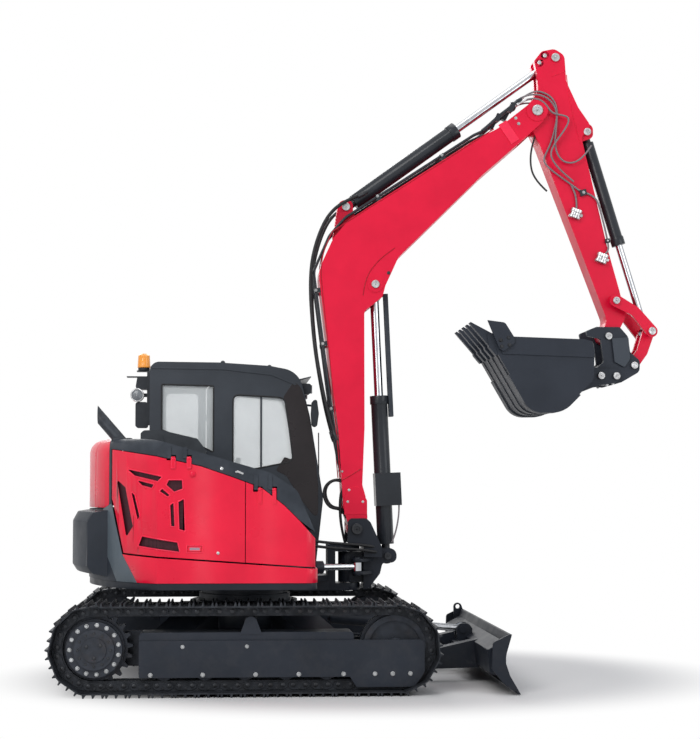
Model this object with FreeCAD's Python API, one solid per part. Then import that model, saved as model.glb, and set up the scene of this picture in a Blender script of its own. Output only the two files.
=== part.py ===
"""Crawler excavator with a swing boom, a cab on the left, a dozer blade and steel tracks.

Millimetres, +X forward, +Y left, +Z up. Every piece is made in the machine frame, whose X = 0 and
Y = 0 are the slew axis and whose Z = 0 is the ground, and is then moved along X so that the origin
is under the middle of the whole machine. Each piece is one STEP file named after its node.
"""

import FreeCAD
import Part
import math
import os

V = FreeCAD.Vector

# ---------------------------------------------------------------- driving dimensions
OVERALL_WIDTH = 2320.0  # over the tracks and the blade
FIT = 0.3  # gap between pieces that seat on each other
PIN_FIT = 0.3  # radial clearance of a running pin
CLEAR = 6.0  # gap beside moving plates
PLATE = 30.0  # lugs and link plates

# tracks: two sprocket teeth pass for each shoe
SHOE_WIDTH = 450.0
TUMBLER_DISTANCE = 2290.0
SHOE_PITCH = 173.0
SPROCKET_TEETH = 21
GROUSER = 25.0
SHOE_PLATE = 10.0
SHOE_RISE = 30.0  # chain pin to the underside of the shoe
RAIL_DROP = 45.0  # chain pin to the running face of the link rail
RAIL_INNER = 34.0  # half the gap between the two link rails
RAIL_OUTER = 78.0
FRAME_HALF = 140.0  # half width of one track frame over its guard plates
GUARD = 22.0

# slew ring, deck and the nose that carries the boom swing post
SLEW_RING_Z = 650.0
DECK_Z = 800.0
DECK_PLATE = 50.0
RING_RADIUS = 400.0
SWING_X = 864.0
SWING_PIN_R = 45.0
LUG_R = 105.0
LUG = 60.0
LUG_LOW = 722.0  # underside of the lower lug
LUG_TOP = 1105.0  # upper face of the upper lug
NOSE_X = 755.0

# working linkage, pivots at rest (x, z)
BOOM_FOOT = (929.0, 1235.0)
BOOM_CYL_BASE = (1194.0, 1006.0)
BOOM_CYL_ROD = (1094.0, 3289.0)
ARM_CYL_BASE = (852.0, 3956.0)
ARM_PIVOT = (2485.0, 4793.0)
ARM_CYL_ROD = (2655.0, 5266.0)
BUCKET_CYL_BASE = (2928.0, 4627.0)
GUIDE_PIVOT = (3140.0, 3161.0)
GUIDE_ROD = (3444.0, 2903.0)
BUCKET_PIVOT = (3081.0, 2862.0)
BUCKET_LINK = (3300.0, 2614.0)
COUPLER_PIN_A = (3004.0, 2522.0)
COUPLER_PIN_B = (3135.0, 2520.0)
BOOM_HALF = 140.0
ARM_HALF = 98.0
LUG_GAP = 45.0  # half the gap that a cylinder's eye works in
EYE_HALF = 39.0  # half the width of a cylinder's eye
PIN_R = 30.0
BUCKET_HALF = 400.0
BUCKET_PLATE = 22.0
LIP = ((2044.0, 2830.0), (2084.0, 2677.0))  # upper and lower edge of the bucket's lip
TOOTH_TIP = (1851.0, 2943.0)
TOOTH_COUNT = 5
TOOTH_WIDTH = 70.0
PIPE_R = 11.0

# blade
BLADE_PIVOT = (640.0, 300.0)
BLADE_ARM_Y = 380.0
BLADE_CYL_BASE = (640.0, 500.0)
BLADE_CYL_ROD = (1830.0, 390.0)

# swing cylinder, in plan (x, y)
SWING_CYL_BASE = (60.0, -480.0)
SWING_CYL_ROD = (924.0, -215.0)
SWING_CYL_Z = 925.0

# house
BODY_HALF = 1100.0
SKIRT_Z = DECK_Z + DECK_PLATE + FIT
PANEL = 18.0
SEAM = 12.0
SCREEN = 4.0  # mesh behind the grilles
TAIL_RADIUS = 1290.0
HOUSE_FRONT = 551.0
HOUSE_TOP = 1965.0
# openings in the rear side cover: two bars and a hexagon at the top, two uprights each side, a bar below
GRILLE = (
    ((-932, 1728, 8), (-632, 1662, 8), (-672, 1622, 8), (-856, 1666, 8)),
    ((-846, 1640, 8), (-696, 1604, 8), (-716, 1570, 8), (-798, 1592, 8)),
    ((-590, 1638, 8), (-484, 1638, 8), (-480, 1566, 8), (-548, 1542, 8), (-610, 1598, 8)),
    ((-638, 1574, 8), (-576, 1522, 8), (-594, 1504, 8), (-662, 1550, 8)),
    ((-470, 1498, 8), (-460, 1244, 8), (-510, 1258, 8), (-518, 1470, 8)),
    ((-548, 1470, 8), (-538, 1278, 8), (-572, 1282, 8), (-580, 1446, 8)),
    ((-1004, 1642, 8), (-932, 1580, 8), (-868, 1280, 8), (-922, 1196, 8)),
    ((-888, 1554, 8), (-852, 1524, 8), (-810, 1358, 8), (-830, 1316, 8)),
    ((-794, 1210, 8), (-518, 1164, 8), (-500, 1086, 8), (-826, 1130, 8)),
)
EXHAUST_Y = -590.0
EXHAUST_R = 47.0
HOOD_RIGHT = -480.0  # the rear hood's right edge, beside the exhaust
CASTING_TOP = 1408.0
HOUSE_LEFT = 40.0
TAIL_X = -1075.0  # counterweight and rear hood lie behind this
COVER_SPLIT = -5.0
REAR_HINGE = ((-600.0, -480.0), 1806.0)
FRONT_HINGE = ((60.0, 170.0), 1566.0)
HOOD_HINGE = (TAIL_X - 1, HOUSE_TOP + 1)
DOOR_HINGE = (-352.0, 1086.0)

# cab
CAB_RIGHT = 60.0
CAB_LEFT = 1080.0
CAB_WALL = 55.0
CAB_FLOOR = 900.0
CAB_REAR = -806.0
GLASS = 6.0
GLASS_INSET = 20.0
DOOR_PLATE = 45.0


# ---------------------------------------------------------------- shape helpers
def point(plane, a, b, c):
    """A point from two coordinates in a plane and its height off that plane."""
    return {"xz": V(a, c, b), "xy": V(a, b, c), "yz": V(c, a, b)}[plane]


def outline(points, plane="xz", at=0.0):
    """Closed wire through points (a, b) or (a, b, radius), each corner rounded by its radius.

    A radius is limited so that its arc leaves at least half of each side beside it to the next corner.
    """
    flat = [(p[0], p[1], p[2] if len(p) > 2 else 0.0) for p in points]
    starts, arcs, ends = [], [], []
    for i, (a, b, radius) in enumerate(flat):
        here = V(a, b, 0)
        last, following = flat[i - 1], flat[(i + 1) % len(flat)]
        to_last = V(last[0], last[1], 0) - here
        to_next = V(following[0], following[1], 0) - here
        room = 0.49 * min(to_last.Length, to_next.Length)
        to_last.normalize()
        to_next.normalize()
        half = to_last.getAngle(to_next) / 2
        if radius <= 0 or half > math.radians(89.5):
            starts.append(here)
            arcs.append(None)
            ends.append(here)
            continue
        back = min(radius / math.tan(half), room)
        radius = back * math.tan(half)
        middle = to_last + to_next
        middle.normalize()
        starts.append(here + to_last * back)
        arcs.append(here + middle * (radius / math.sin(half) - radius))
        ends.append(here + to_next * back)
    edges = []
    for i in range(len(flat)):
        j = (i + 1) % len(flat)
        if arcs[i] is not None:
            places = [point(plane, q.x, q.y, at) for q in (starts[i], arcs[i], ends[i])]
            edges.append(Part.Arc(*places).toShape())
        if (ends[i] - starts[j]).Length > 1e-4:
            first = point(plane, ends[i].x, ends[i].y, at)
            second = point(plane, starts[j].x, starts[j].y, at)
            edges.append(Part.LineSegment(first, second).toShape())
    return Part.Wire(edges)


def slab(points, low, high, plane="xz"):
    """The outline pushed out from low to high, square to its plane."""
    face = Part.Face(outline(points, plane, low))
    return face.extrude(point(plane, 0, 0, high - low))


def pair(points, inner, outer, plane="xz"):
    """Two mirrored slabs, between inner and outer on each side of the centre plane."""
    return [slab(points, inner, outer, plane), slab(points, -outer, -inner, plane)]


def box(x0, x1, y0, y1, z0, z1):
    return Part.makeBox(x1 - x0, y1 - y0, z1 - z0, V(x0, y0, z0))


def rod_y(place, radius, y0, y1):
    """Round bar along Y at place (x, z)."""
    return Part.makeCylinder(radius, y1 - y0, V(place[0], y0, place[1]), V(0, 1, 0))


def rod_z(x, y, radius, z0, z1):
    return Part.makeCylinder(radius, z1 - z0, V(x, y, z0), V(0, 0, 1))


def spun(points):
    """Profile (radius, z) turned round the slew axis."""
    face = Part.Face(outline(points, "xz"))
    return face.revolve(V(0, 0, 0), V(0, 0, 1), 360)


def flatten(shapes):
    parts = []
    for s in shapes:
        parts.extend(s if isinstance(s, list) else [s])
    return parts


def fuse(*shapes):
    parts = flatten(shapes)
    whole = parts[0].multiFuse(parts[1:]) if len(parts) > 1 else parts[0]
    return whole.removeSplitter()


def cut(shape, *tools):
    return shape.cut(flatten(tools))


def group(*shapes):
    """Solids that share a node without touching."""
    solids = []
    for one in flatten(shapes):
        solids.extend(one.Solids)
    return Part.makeCompound(solids)


def mirrored(shape):
    return shape.mirror(V(0, 0, 0), V(0, 1, 0))


def both(shape):
    """A piece and its mirror image, in one node."""
    return group(shape, mirrored(shape))


def along(start, end, distance):
    """The point that lies that far from start towards end, in (x, z)."""
    share = distance / math.dist(start, end)
    return (start[0] + (end[0] - start[0]) * share, start[1] + (end[1] - start[1]) * share)


def bosses(place, radius, inner, outer):
    """A round boss along Y on both sides of the centre plane."""
    return [rod_y(place, radius, inner, outer), rod_y(place, radius, -outer, -inner)]


def hull(places, y0, y1):
    """Convex plate round circles (x, z, radius), between y0 and y1."""
    plates = [rod_y((x, z), r, y0, y1) for x, z, r in places]
    for i in range(len(places)):
        for j in range(i + 1, len(places)):
            plates.append(strap(places[i], places[j], y0, y1))
    return fuse(plates)


def strap(first, second, y0, y1):
    """Plate bounded by the two outer tangents of two circles (x, z, radius)."""
    a, b = V(first[0], first[1], 0), V(second[0], second[1], 0)
    along_line = b - a
    turn = math.acos((first[2] - second[2]) / along_line.Length)
    base = math.atan2(along_line.y, along_line.x)
    corners = []
    for centre, radius, sign in ((a, first[2], 1), (b, second[2], 1), (b, second[2], -1), (a, first[2], -1)):
        angle = base + sign * turn
        corners.append((centre.x + radius * math.cos(angle), centre.y + radius * math.sin(angle)))
    return slab(corners, y0, y1)


# ---------------------------------------------------------------- cylinders
def bar(base, end, near, far, radius):
    """Round bar on the line base to end in the plane y = 0, from distance near to distance far."""
    a, b = along(base, end, near), along(base, end, far)
    direction = V(b[0] - a[0], 0, b[1] - a[1])
    return Part.makeCylinder(radius, direction.Length, V(a[0], 0, a[1]), direction)


def ram(base, end, reach, stroke, barrel_r, rod_r, eye_r, pin_r=PIN_R, half=EYE_HALF):
    """A hydraulic cylinder: its barrel, which turns on the base pin, and its rod with the eye.

    The rod can sink into the barrel by stroke from where it stands.
    """
    length = math.dist(base, end)
    gland = 70.0
    start = eye_r + 30
    barrel = fuse(
        bar(base, end, start, reach, barrel_r),
        bar(base, end, reach - gland, reach, barrel_r + 7),
        bar(base, end, 0, start + 1, half - 5),
        rod_y(base, eye_r, -half, half),
    )
    bore = bar(base, end, start + 20, reach + 1, rod_r + PIN_FIT)
    barrel = cut(barrel, bore, rod_y(base, pin_r + PIN_FIT, -half - 1, half + 1))
    rod = fuse(
        bar(base, end, start + 30 + stroke, length - eye_r * 0.7, rod_r),
        rod_y(end, eye_r, -half, half),
    )
    rod = cut(rod, rod_y(end, pin_r + PIN_FIT, -half - 1, half + 1))
    return barrel, rod


def beside(base, end, near, far, low, high, half):
    """Plate along a cylinder: near to far on its axis, low to high in front, and half to each side."""
    length = math.dist(base, end)
    ahead = ((end[0] - base[0]) / length, (end[1] - base[1]) / length)
    corners = []
    for a, o in ((near, low), (far, low), (far, high), (near, high)):
        corners.append((base[0] + ahead[0] * a + ahead[1] * o, base[1] + ahead[1] * a - ahead[0] * o))
    return slab(corners, -half, half)


def guarded(barrel, rod, base, end):
    """The cylinder with a channel in front of its rod, and the barrel's box that the channel slides into."""
    length = math.dist(base, end)
    inner, outer, half, wall = 78.0, 114.0, 40.0, 6.0
    channel = beside(base, end, 1170, length - 70, inner, outer, half)
    channel = cut(channel, beside(base, end, 1100, length, inner - 5, outer - wall, half - wall))
    holder = beside(base, end, length - 90, length - 70, 0, outer, half - wall + 1)
    box_wall = 14.0
    case = beside(base, end, 420, 695, -72, outer + 30, half + 34 + box_wall)
    way = beside(base, end, 410, 705, inner - 6, outer + 30 - box_wall, half + 10)
    room = bar(base, end, 405, 715, 60)
    return fuse(barrel, cut(case, way, room)), fuse(rod, channel, holder)


def hinges(origin, line, outward, places, leaf=50.0):
    """Knuckle hinges on a line: fixed pieces, moving pieces, and the pockets in each of the two.

    Each hinge starts at one of the places along the line. The surface is 6 mm inside the line.
    """
    into = V(outward) * -1
    rotation = FreeCAD.Rotation(line, into, line.cross(into), "XYZ")
    radius, width = 8.0, 30.0
    sets = [[], [], [], []]
    for place in places:
        def bar_x(r, x0, x1):
            return Part.makeCylinder(r, x1 - x0, V(place + x0, 0, 0), V(1, 0, 0))

        def leaf_box(x0, x1, margin, z0, z1):
            return box(place + x0 - margin, place + x1 + margin, -3 - margin, 20 + margin, z0, z1)

        sets[0] += [bar_x(radius, 0, width - FIT), bar_x(4, 0, 2 * width)]
        sets[0].append(leaf_box(0, width - FIT, 0, 0, leaf))
        moving = fuse(bar_x(radius, width, 2 * width), leaf_box(width, 2 * width, 0, -leaf, 0))
        sets[1].append(cut(moving, bar_x(4 + PIN_FIT, width - 1, 2 * width + 1)))
        sets[2].append(leaf_box(width, 2 * width, CLEAR, -leaf - CLEAR, 20))
        sets[3].append(leaf_box(0, width, CLEAR, -20, leaf + CLEAR))
    for one in flatten(sets):
        one.Placement = FreeCAD.Placement(origin, rotation).multiply(one.Placement)
    return sets


def hang(fixed_piece, moving_piece, hinge_set):
    """Both pieces with their halves of the hinges."""
    fixed, moving, fixed_pocket, moving_pocket = hinge_set
    return fuse(cut(fixed_piece, fixed_pocket), fixed), fuse(cut(moving_piece, moving_pocket), moving)


# ---------------------------------------------------------------- tracks
SHOE_COUNT = round(2 * TUMBLER_DISTANCE / SHOE_PITCH + SPROCKET_TEETH / 2)
PITCH = 2 * TUMBLER_DISTANCE / (SHOE_COUNT - SPROCKET_TEETH / 2)
PIN_RADIUS = PITCH * SPROCKET_TEETH / (4 * math.pi)
SHOE_RADIUS = PIN_RADIUS + SHOE_RISE
TREAD_RADIUS = PIN_RADIUS - RAIL_DROP
WHEEL_Z = SHOE_RADIUS + SHOE_PLATE + GROUSER
TRACK_TOP = 2 * WHEEL_Z
RAIL_Z = WHEEL_Z - TREAD_RADIUS  # running face of the lower rails
TRACK_Y = (OVERALL_WIDTH - SHOE_WIDTH) / 2
REAR_WHEEL = (-TUMBLER_DISTANCE / 2, WHEEL_Z)
FRONT_WHEEL = (TUMBLER_DISTANCE / 2, WHEEL_Z)


def shoe_places():
    """Centre on the pin line and outward angle of each shoe."""
    half_turn = math.pi * PIN_RADIUS
    places = []
    for i in range(SHOE_COUNT):
        s = i * PITCH
        lap, on_wheel = divmod(s, TUMBLER_DISTANCE + half_turn)
        turned = math.pi * lap
        wheel = FRONT_WHEEL if lap == 0 else REAR_WHEEL
        angle = turned - math.pi / 2
        run = TUMBLER_DISTANCE - on_wheel
        if run < 0:
            angle += -run / PIN_RADIUS
            run = 0.0
        out = V(math.cos(angle), 0, math.sin(angle))
        ahead = V(-out.z, 0, out.x)
        centre = V(wheel[0], 0, wheel[1]) + out * PIN_RADIUS - ahead * run
        places.append((centre, out, ahead))
    return places


def stadium(radius):
    """Closed path round both wheel centres at that radius, as an (x, z) outline."""
    rear, front = REAR_WHEEL[0] - radius, FRONT_WHEEL[0] + radius
    low, top = WHEEL_Z - radius, WHEEL_Z + radius
    r = radius - 0.01
    return [(rear, low, r), (front, low, r), (front, top, r), (rear, top, r)]


def track():
    """Left track: shoes with three grousers each on two link rails, as one closed loop."""
    half = PITCH / 2 - 2
    tread = [(-half, SHOE_PLATE)]
    for centre in (12 - half, 0.0, half - 12):
        tread += [
            (centre - 10, SHOE_PLATE),
            (centre - 5, SHOE_PLATE + GROUSER),
            (centre + 5, SHOE_PLATE + GROUSER),
            (centre + 10, SHOE_PLATE),
        ]
    tread.append((half, SHOE_PLATE))
    outer, inner = [], []
    for place, out, ahead in shoe_places():
        for t, n in tread:
            p = place + ahead * t + out * (SHOE_RISE + n)
            outer.append((p.x, p.z))
        for t in (-half, half):
            p = place + ahead * t + out * SHOE_RISE
            inner.append((p.x, p.z))
    y0, y1 = TRACK_Y - SHOE_WIDTH / 2, TRACK_Y + SHOE_WIDTH / 2
    loop = cut(slab(outer, y0, y1), slab(inner, y0 - 1, y1 + 1))
    ring = slab(stadium(SHOE_RADIUS + SHOE_PLATE / 2), 0, RAIL_OUTER - RAIL_INNER)
    ring = cut(ring, slab(stadium(TREAD_RADIUS), -1, RAIL_OUTER))
    rails = [ring.copy(), ring.copy()]
    rails[0].translate(V(0, TRACK_Y + RAIL_INNER, 0))
    rails[1].translate(V(0, TRACK_Y - RAIL_OUTER, 0))
    return fuse(loop, rails)


def sprocket():
    """Left sprocket: toothed ring between the rails and the final drive on both sides of it."""
    half = RAIL_INNER - CLEAR
    root, tip = TREAD_RADIUS + 2, PIN_RADIUS - 4
    step = 2 * math.pi / SPROCKET_TEETH
    profile = []
    for i in range(SPROCKET_TEETH):
        for radius, share in ((root, 0.22), (tip, 0.4), (tip, 0.6), (root, 0.78)):
            angle = (i + share) * step - math.pi / 2
            x, z = radius * math.cos(angle), radius * math.sin(angle)
            profile.append((REAR_WHEEL[0] + x, REAR_WHEEL[1] + z))
    return fuse(
        slab(profile, TRACK_Y - half, TRACK_Y + half),
        rod_y(REAR_WHEEL, 224, TRACK_Y + half - 1, TRACK_Y + 70),
        rod_y(REAR_WHEEL, 190, TRACK_Y + 69, TRACK_Y + 128),
        rod_y(REAR_WHEEL, 211, TRACK_Y + 110, TRACK_Y + 140),
        rod_y(REAR_WHEEL, 153, TRACK_Y + 139, TRACK_Y + 160),
        rod_y(REAR_WHEEL, 93, TRACK_Y + 159, TRACK_Y + 172),
        rod_y(REAR_WHEEL, 165, TRACK_Y - 90 + FIT, TRACK_Y - half + 1),
    )


def idler():
    """Left idler: two treads for the rails, the rib between them and the dished web."""
    wheel = fuse(
        rod_y(FRONT_WHEEL, TREAD_RADIUS - FIT, TRACK_Y - RAIL_OUTER, TRACK_Y + RAIL_OUTER),
        rod_y(FRONT_WHEEL, PIN_RADIUS - 20, TRACK_Y - RAIL_INNER + CLEAR, TRACK_Y + RAIL_INNER - CLEAR),
    )
    for sign in (1, -1):
        y = sorted((TRACK_Y + sign * (RAIL_OUTER - 30), TRACK_Y + sign * (RAIL_OUTER + 1)))
        wheel = cut(wheel, rod_y(FRONT_WHEEL, TREAD_RADIUS - 42, *y))
    reach = FRAME_HALF - GUARD - FIT
    return fuse(wheel, rod_y(FRONT_WHEEL, 75, TRACK_Y - reach, TRACK_Y + reach))


def rollers():
    """Lower rollers and the carrier roller on the left side."""
    solids = []
    reach = FRAME_HALF - GUARD - FIT
    radius = 80.0
    for i in range(5):
        place = (-620 + 310 * i, RAIL_Z + radius + FIT)
        wheel = rod_y(place, radius, TRACK_Y - RAIL_OUTER, TRACK_Y + RAIL_OUTER)
        groove = rod_y(place, radius + 1, TRACK_Y - RAIL_INNER + 4, TRACK_Y + RAIL_INNER - 4)
        core = rod_y(place, radius * 0.72, TRACK_Y - RAIL_INNER, TRACK_Y + RAIL_INNER)
        axle = rod_y(place, 32, TRACK_Y - reach, TRACK_Y + reach)
        solids.append(fuse(cut(wheel, groove), core, axle))
    carrier = (40.0, TRACK_TOP - RAIL_Z - 50 - FIT)
    solids.append(
        fuse(
            rod_y(carrier, 50, TRACK_Y - RAIL_OUTER, TRACK_Y + RAIL_OUTER),
            rod_y(carrier, 28, TRACK_Y + RAIL_OUTER - 1, TRACK_Y + 100 - FIT),
        )
    )
    return group(solids)


def track_frame():
    """Left track frame: beam between the rails' runs, guard plates, idler yoke and drive plate."""
    low, top = 300.0, 417.0
    rear, front = -809.0, 1368.0
    beam_half = FRAME_HALF - GUARD
    beam_end = FRONT_WHEEL[0] - PIN_RADIUS - 30
    side = [(rear, low), (beam_end, low), (beam_end, top + 60, 30), (rear, top + 60, 30)]
    beam = slab(side, TRACK_Y - beam_half - 1, TRACK_Y + beam_half + 1)
    guard = [
        (rear, 139, 12),
        (794, 139),
        (845, 60, 20),
        (1290, 60, 80),
        (front, 170, 40),
        (front, top, 40),
        (rear, top, 12),
    ]
    plates = [
        slab(guard, TRACK_Y + beam_half, TRACK_Y + FRAME_HALF),
        slab(guard, TRACK_Y - FRAME_HALF, TRACK_Y - beam_half),
    ]
    drive_plate = fuse(
        box(REAR_WHEEL[0], rear + 60, TRACK_Y - 118, TRACK_Y - 90, WHEEL_Z - 150, WHEEL_Z + 120),
        rod_y(REAR_WHEEL, 185, TRACK_Y - 118, TRACK_Y - 90),
    )
    bracket = fuse(
        strap((40, TRACK_TOP - RAIL_Z - 50, 48), (40, 430, 90), TRACK_Y + 100, TRACK_Y + 125),
        rod_y((40, TRACK_TOP - RAIL_Z - 50), 48, TRACK_Y + 100, TRACK_Y + 125),
    )
    return fuse(beam, plates, drive_plate, bracket)


def center_frame():
    """X frame that carries the slew ring between the track frames, with the blade's lugs in front."""
    inner = TRACK_Y - FRAME_HALF
    drum = rod_z(0, 0, RING_RADIUS + 40, 430, SLEW_RING_Z)
    legs = []
    for sign in (1, -1):
        for x_end in (600.0, -600.0):
            plan = [
                (x_end - 150, sign * inner),
                (x_end + 150, sign * inner),
                (x_end * 0.35 + 170, sign * 80),
                (x_end * 0.35 - 170, sign * 80),
            ]
            leg = slab(plan, 300, 600, "xy")
            over = [(sign * 380, 601), (sign * inner, 430), (sign * (inner + 1), 601)]
            legs.append(cut(leg, slab(over, -1500, 1500, "yz")))
    middle = box(-330, BLADE_PIVOT[0] - 90, -300, 300, 390, 520)
    front = box(BLADE_PIVOT[0] - 130, BLADE_PIVOT[0] - 70, -BLADE_ARM_Y - 110, BLADE_ARM_Y + 110, 260, 480)
    lug = [
        (BLADE_PIVOT[0] - 100, 245),
        (BLADE_PIVOT[0] + 55, 245, 54),
        (BLADE_PIVOT[0] + 55, 355, 54),
        (BLADE_PIVOT[0] - 100, 355),
    ]
    lugs = []
    for side in (BLADE_ARM_Y, -BLADE_ARM_Y):
        lugs.append(slab(lug, side + 60 + CLEAR, side + 90 + CLEAR))
        lugs.append(slab(lug, side - 90 - CLEAR, side - 60 - CLEAR))
    ram_lug = [
        (BLADE_CYL_BASE[0] - 100, 430),
        (BLADE_CYL_BASE[0] + 50, 430, 49),
        (BLADE_CYL_BASE[0] + 50, BLADE_CYL_BASE[1] + 50, 49),
        (BLADE_CYL_BASE[0] - 50, BLADE_CYL_BASE[1] + 50, 49),
    ]
    ram_lugs = pair(ram_lug, LUG_GAP, LUG_GAP + PLATE)
    back = box(BLADE_CYL_BASE[0] - 130, BLADE_CYL_BASE[0] - 60, -120, 120, 400, 560)
    reach = 95 + CLEAR
    pins = [rod_y(BLADE_PIVOT, PIN_R, side - reach, side + reach) for side in (BLADE_ARM_Y, -BLADE_ARM_Y)]
    ram_pin = rod_y(BLADE_CYL_BASE, PIN_R, -LUG_GAP - PLATE - 12, LUG_GAP + PLATE + 12)
    frame = fuse(drum, legs, middle, front, lugs, ram_lugs, back, pins, ram_pin)
    well = rod_z(0, 0, RING_RADIUS - 120, 540, SLEW_RING_Z + 1)
    return cut(frame, well)


# ---------------------------------------------------------------- blade
def blade():
    """Moldboard with its stiffener and end plates, and the two arms back to the frame."""
    half = OVERALL_WIDTH / 2
    board = [
        (2091, 7),
        (2070, 7),
        (1950, 200, 260),
        (1955, 330, 200),
        (2004, 459),
        (2026, 459),
        (1979, 300, 220),
        (1979, 200, 220),
    ]
    moldboard = slab(board, -half, half)
    stiffener = slab([(1975, 120), (1875, 150, 10), (1860, 330, 10), (1985, 400)], -half + 120, half - 120)
    end = [(2050, 20), (1960, 90, 20), (1870, 200, 30), (1880, 400, 30), (2004, 459), (1960, 300)]
    ends = pair(end, half - 20, half)
    arms = []
    for side in (BLADE_ARM_Y, -BLADE_ARM_Y):
        arm = [
            (BLADE_PIVOT[0] - 55, 245, 54),
            (BLADE_PIVOT[0] + 300, 245, 100),
            (1500, 110, 120),
            (1900, 120),
            (1900, 350),
            (1500, 260, 200),
            (BLADE_PIVOT[0] - 55, 355, 54),
        ]
        arms.append(slab(arm, side - 60, side + 60))
    lug_shape = [(1910, 250), (1780, 300, 30), (1780, 440, 49), (1880, 440, 49), (1910, 400)]
    lugs = pair(lug_shape, LUG_GAP, LUG_GAP + PLATE)
    cross = box(1790, 1900, -BLADE_ARM_Y, BLADE_ARM_Y, 150, 260)
    piece = fuse(moldboard, stiffener, ends, arms, lugs, cross)
    piece = cut(piece, rod_y(BLADE_PIVOT, PIN_R + PIN_FIT, -1000, 1000))
    pins = bosses(BLADE_CYL_ROD, PIN_R, LUG_GAP + 2, LUG_GAP + PLATE + 12)
    eye = hull([(1975, 478, 38), (1990, 400, 50)], half - 90, half - 65)
    return fuse(piece, pins, cut(eye, rod_y((1975, 482), 20, 0, half)))


# ---------------------------------------------------------------- deck and nose
def deck():
    """Revolving frame: the deck plate on the slew ring and the nose with its two swing lugs."""
    plan = [
        (-1300, -BODY_HALF + 6),
        (HOUSE_FRONT - 4, -BODY_HALF + 6, 80),
        (HOUSE_FRONT - 4, -260),
        (690, -115),
        (NOSE_X, -115),
        (NOSE_X, 115),
        (690, 115),
        (620, 200),
        (620, 1060, 80),
        (-1300, BODY_HALF - 6),
    ]
    plate = slab(plan, DECK_Z, DECK_Z + DECK_PLATE, "xy").common(rod_z(0, 0, TAIL_RADIUS - 6, 0, 2000))
    tower = box(690, NOSE_X, -115, 115, LUG_LOW, LUG_TOP)
    lug_plan = [(700, -115), (NOSE_X, -115), (SWING_X, -LUG_R), (SWING_X, LUG_R), (NOSE_X, 115), (700, 115)]
    lugs = []
    for z in (LUG_LOW, LUG_TOP - LUG):
        lugs += [slab(lug_plan, z, z + LUG, "xy"), rod_z(SWING_X, 0, LUG_R, z, z + LUG)]
    keel = slab([(350, -180), (700, -115), (700, 115), (350, 180)], LUG_LOW, DECK_Z + 1, "xy")
    keel = cut(keel, rod_z(0, 0, RING_RADIUS + 30, 700, DECK_Z))
    pin_hole = rod_z(SWING_X, 0, SWING_PIN_R, LUG_LOW - 1, LUG_TOP + 1)
    seat = rod_z(0, 0, RING_RADIUS, DECK_Z - 20, DECK_Z + 1)
    low, high = DECK_Z + DECK_PLATE - 1, CAB_FLOOR - FIT
    mounts = [rod_z(x, y, 45, low, high) for x in (-700, 480) for y in (170, 970)]
    frame = cut(fuse(plate, tower, lugs, keel, seat, mounts), pin_hole)
    return frame


def slew_ring():
    ring = rod_z(0, 0, RING_RADIUS - 20, SLEW_RING_Z, DECK_Z - 20)
    groove = cut(rod_z(0, 0, RING_RADIUS, 705, 725), rod_z(0, 0, RING_RADIUS - 45, 700, 730))
    return cut(ring, rod_z(0, 0, RING_RADIUS - 120, SLEW_RING_Z - 1, DECK_Z), groove)


def swing_bracket():
    """Post between the nose's lugs, ears for the boom foot, and lugs for the boom cylinder."""
    low, high = LUG_LOW + LUG + CLEAR, LUG_TOP - LUG - CLEAR
    post = rod_z(SWING_X, 0, 78, low, high)
    block = slab([(SWING_X, low), (1040, low), (1100, low + 80), (1100, high), (SWING_X, high)], -76, 76)
    front = [
        (990, 725, 10),
        (1040, 745, 20),
        (1129, 860, 15),
        (1150, 950, 30),
        (BOOM_CYL_BASE[0] + 75, BOOM_CYL_BASE[1] - 55, 50),
        (BOOM_CYL_BASE[0] + 75, BOOM_CYL_BASE[1] + 65, 64),
        (1120, BOOM_CYL_BASE[1] + 65),
        (990, LUG_TOP - 5),
    ]
    body = slab(front, -115, 115)
    slot = slab([(1105, 905, 30), (1300, 905), (1300, 1250), (1105, 1250)], -LUG_GAP, LUG_GAP)
    ear = [
        (855, LUG_TOP + CLEAR),
        (990, LUG_TOP + CLEAR),
        (990, 1000, 10),
        (1140, 1000, 10),
        (1140, 1082, 30),
        (1045, 1290, 35),
        (1010, 1322, 20),
        (880, 1322, 30),
        (855, 1290, 15),
    ]
    ears = pair(ear, BOOM_HALF + CLEAR, BOOM_HALF + CLEAR + 34)
    shoulder = box(990, 1130, -BOOM_HALF - CLEAR - 33, BOOM_HALF + CLEAR + 33, 1005, LUG_TOP - 8)
    eye = SWING_CYL_ROD
    shape = [(eye[0] - 39, eye[1] - 39, 38), (eye[0] + 39, eye[1] - 39, 38)]
    shape += [(1075, -112), (1075, -60), (SWING_X + 30, -60)]
    arm = slab(shape, SWING_CYL_Z + 40, SWING_CYL_Z + 65, "xy")
    arm_low = arm.copy()
    arm_low.translate(V(0, 0, -105))
    gap = 34 + FIT
    stubs = [rod_z(eye[0], eye[1], 32, SWING_CYL_Z + gap, SWING_CYL_Z + 75)]
    stubs.append(rod_z(eye[0], eye[1], 32, SWING_CYL_Z - 75, SWING_CYL_Z - gap))
    pins = rod_y(BOOM_FOOT, 45, -BOOM_HALF - CLEAR - 50, BOOM_HALF + CLEAR + 50)
    ram_pins = rod_y(BOOM_CYL_BASE, PIN_R, -130, 130)
    whole = cut(fuse(post, block, body, shoulder, ears), slot)
    hole = rod_z(SWING_X, 0, SWING_PIN_R + 2 * PIN_FIT, low - 1, high + 1)
    pin = rod_z(SWING_X, 0, SWING_PIN_R - PIN_FIT, LUG_LOW - 10, LUG_TOP + 2)
    whole = cut(fuse(whole, arm, arm_low, stubs), hole)
    return fuse(whole, pins, ram_pins), pin


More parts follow.
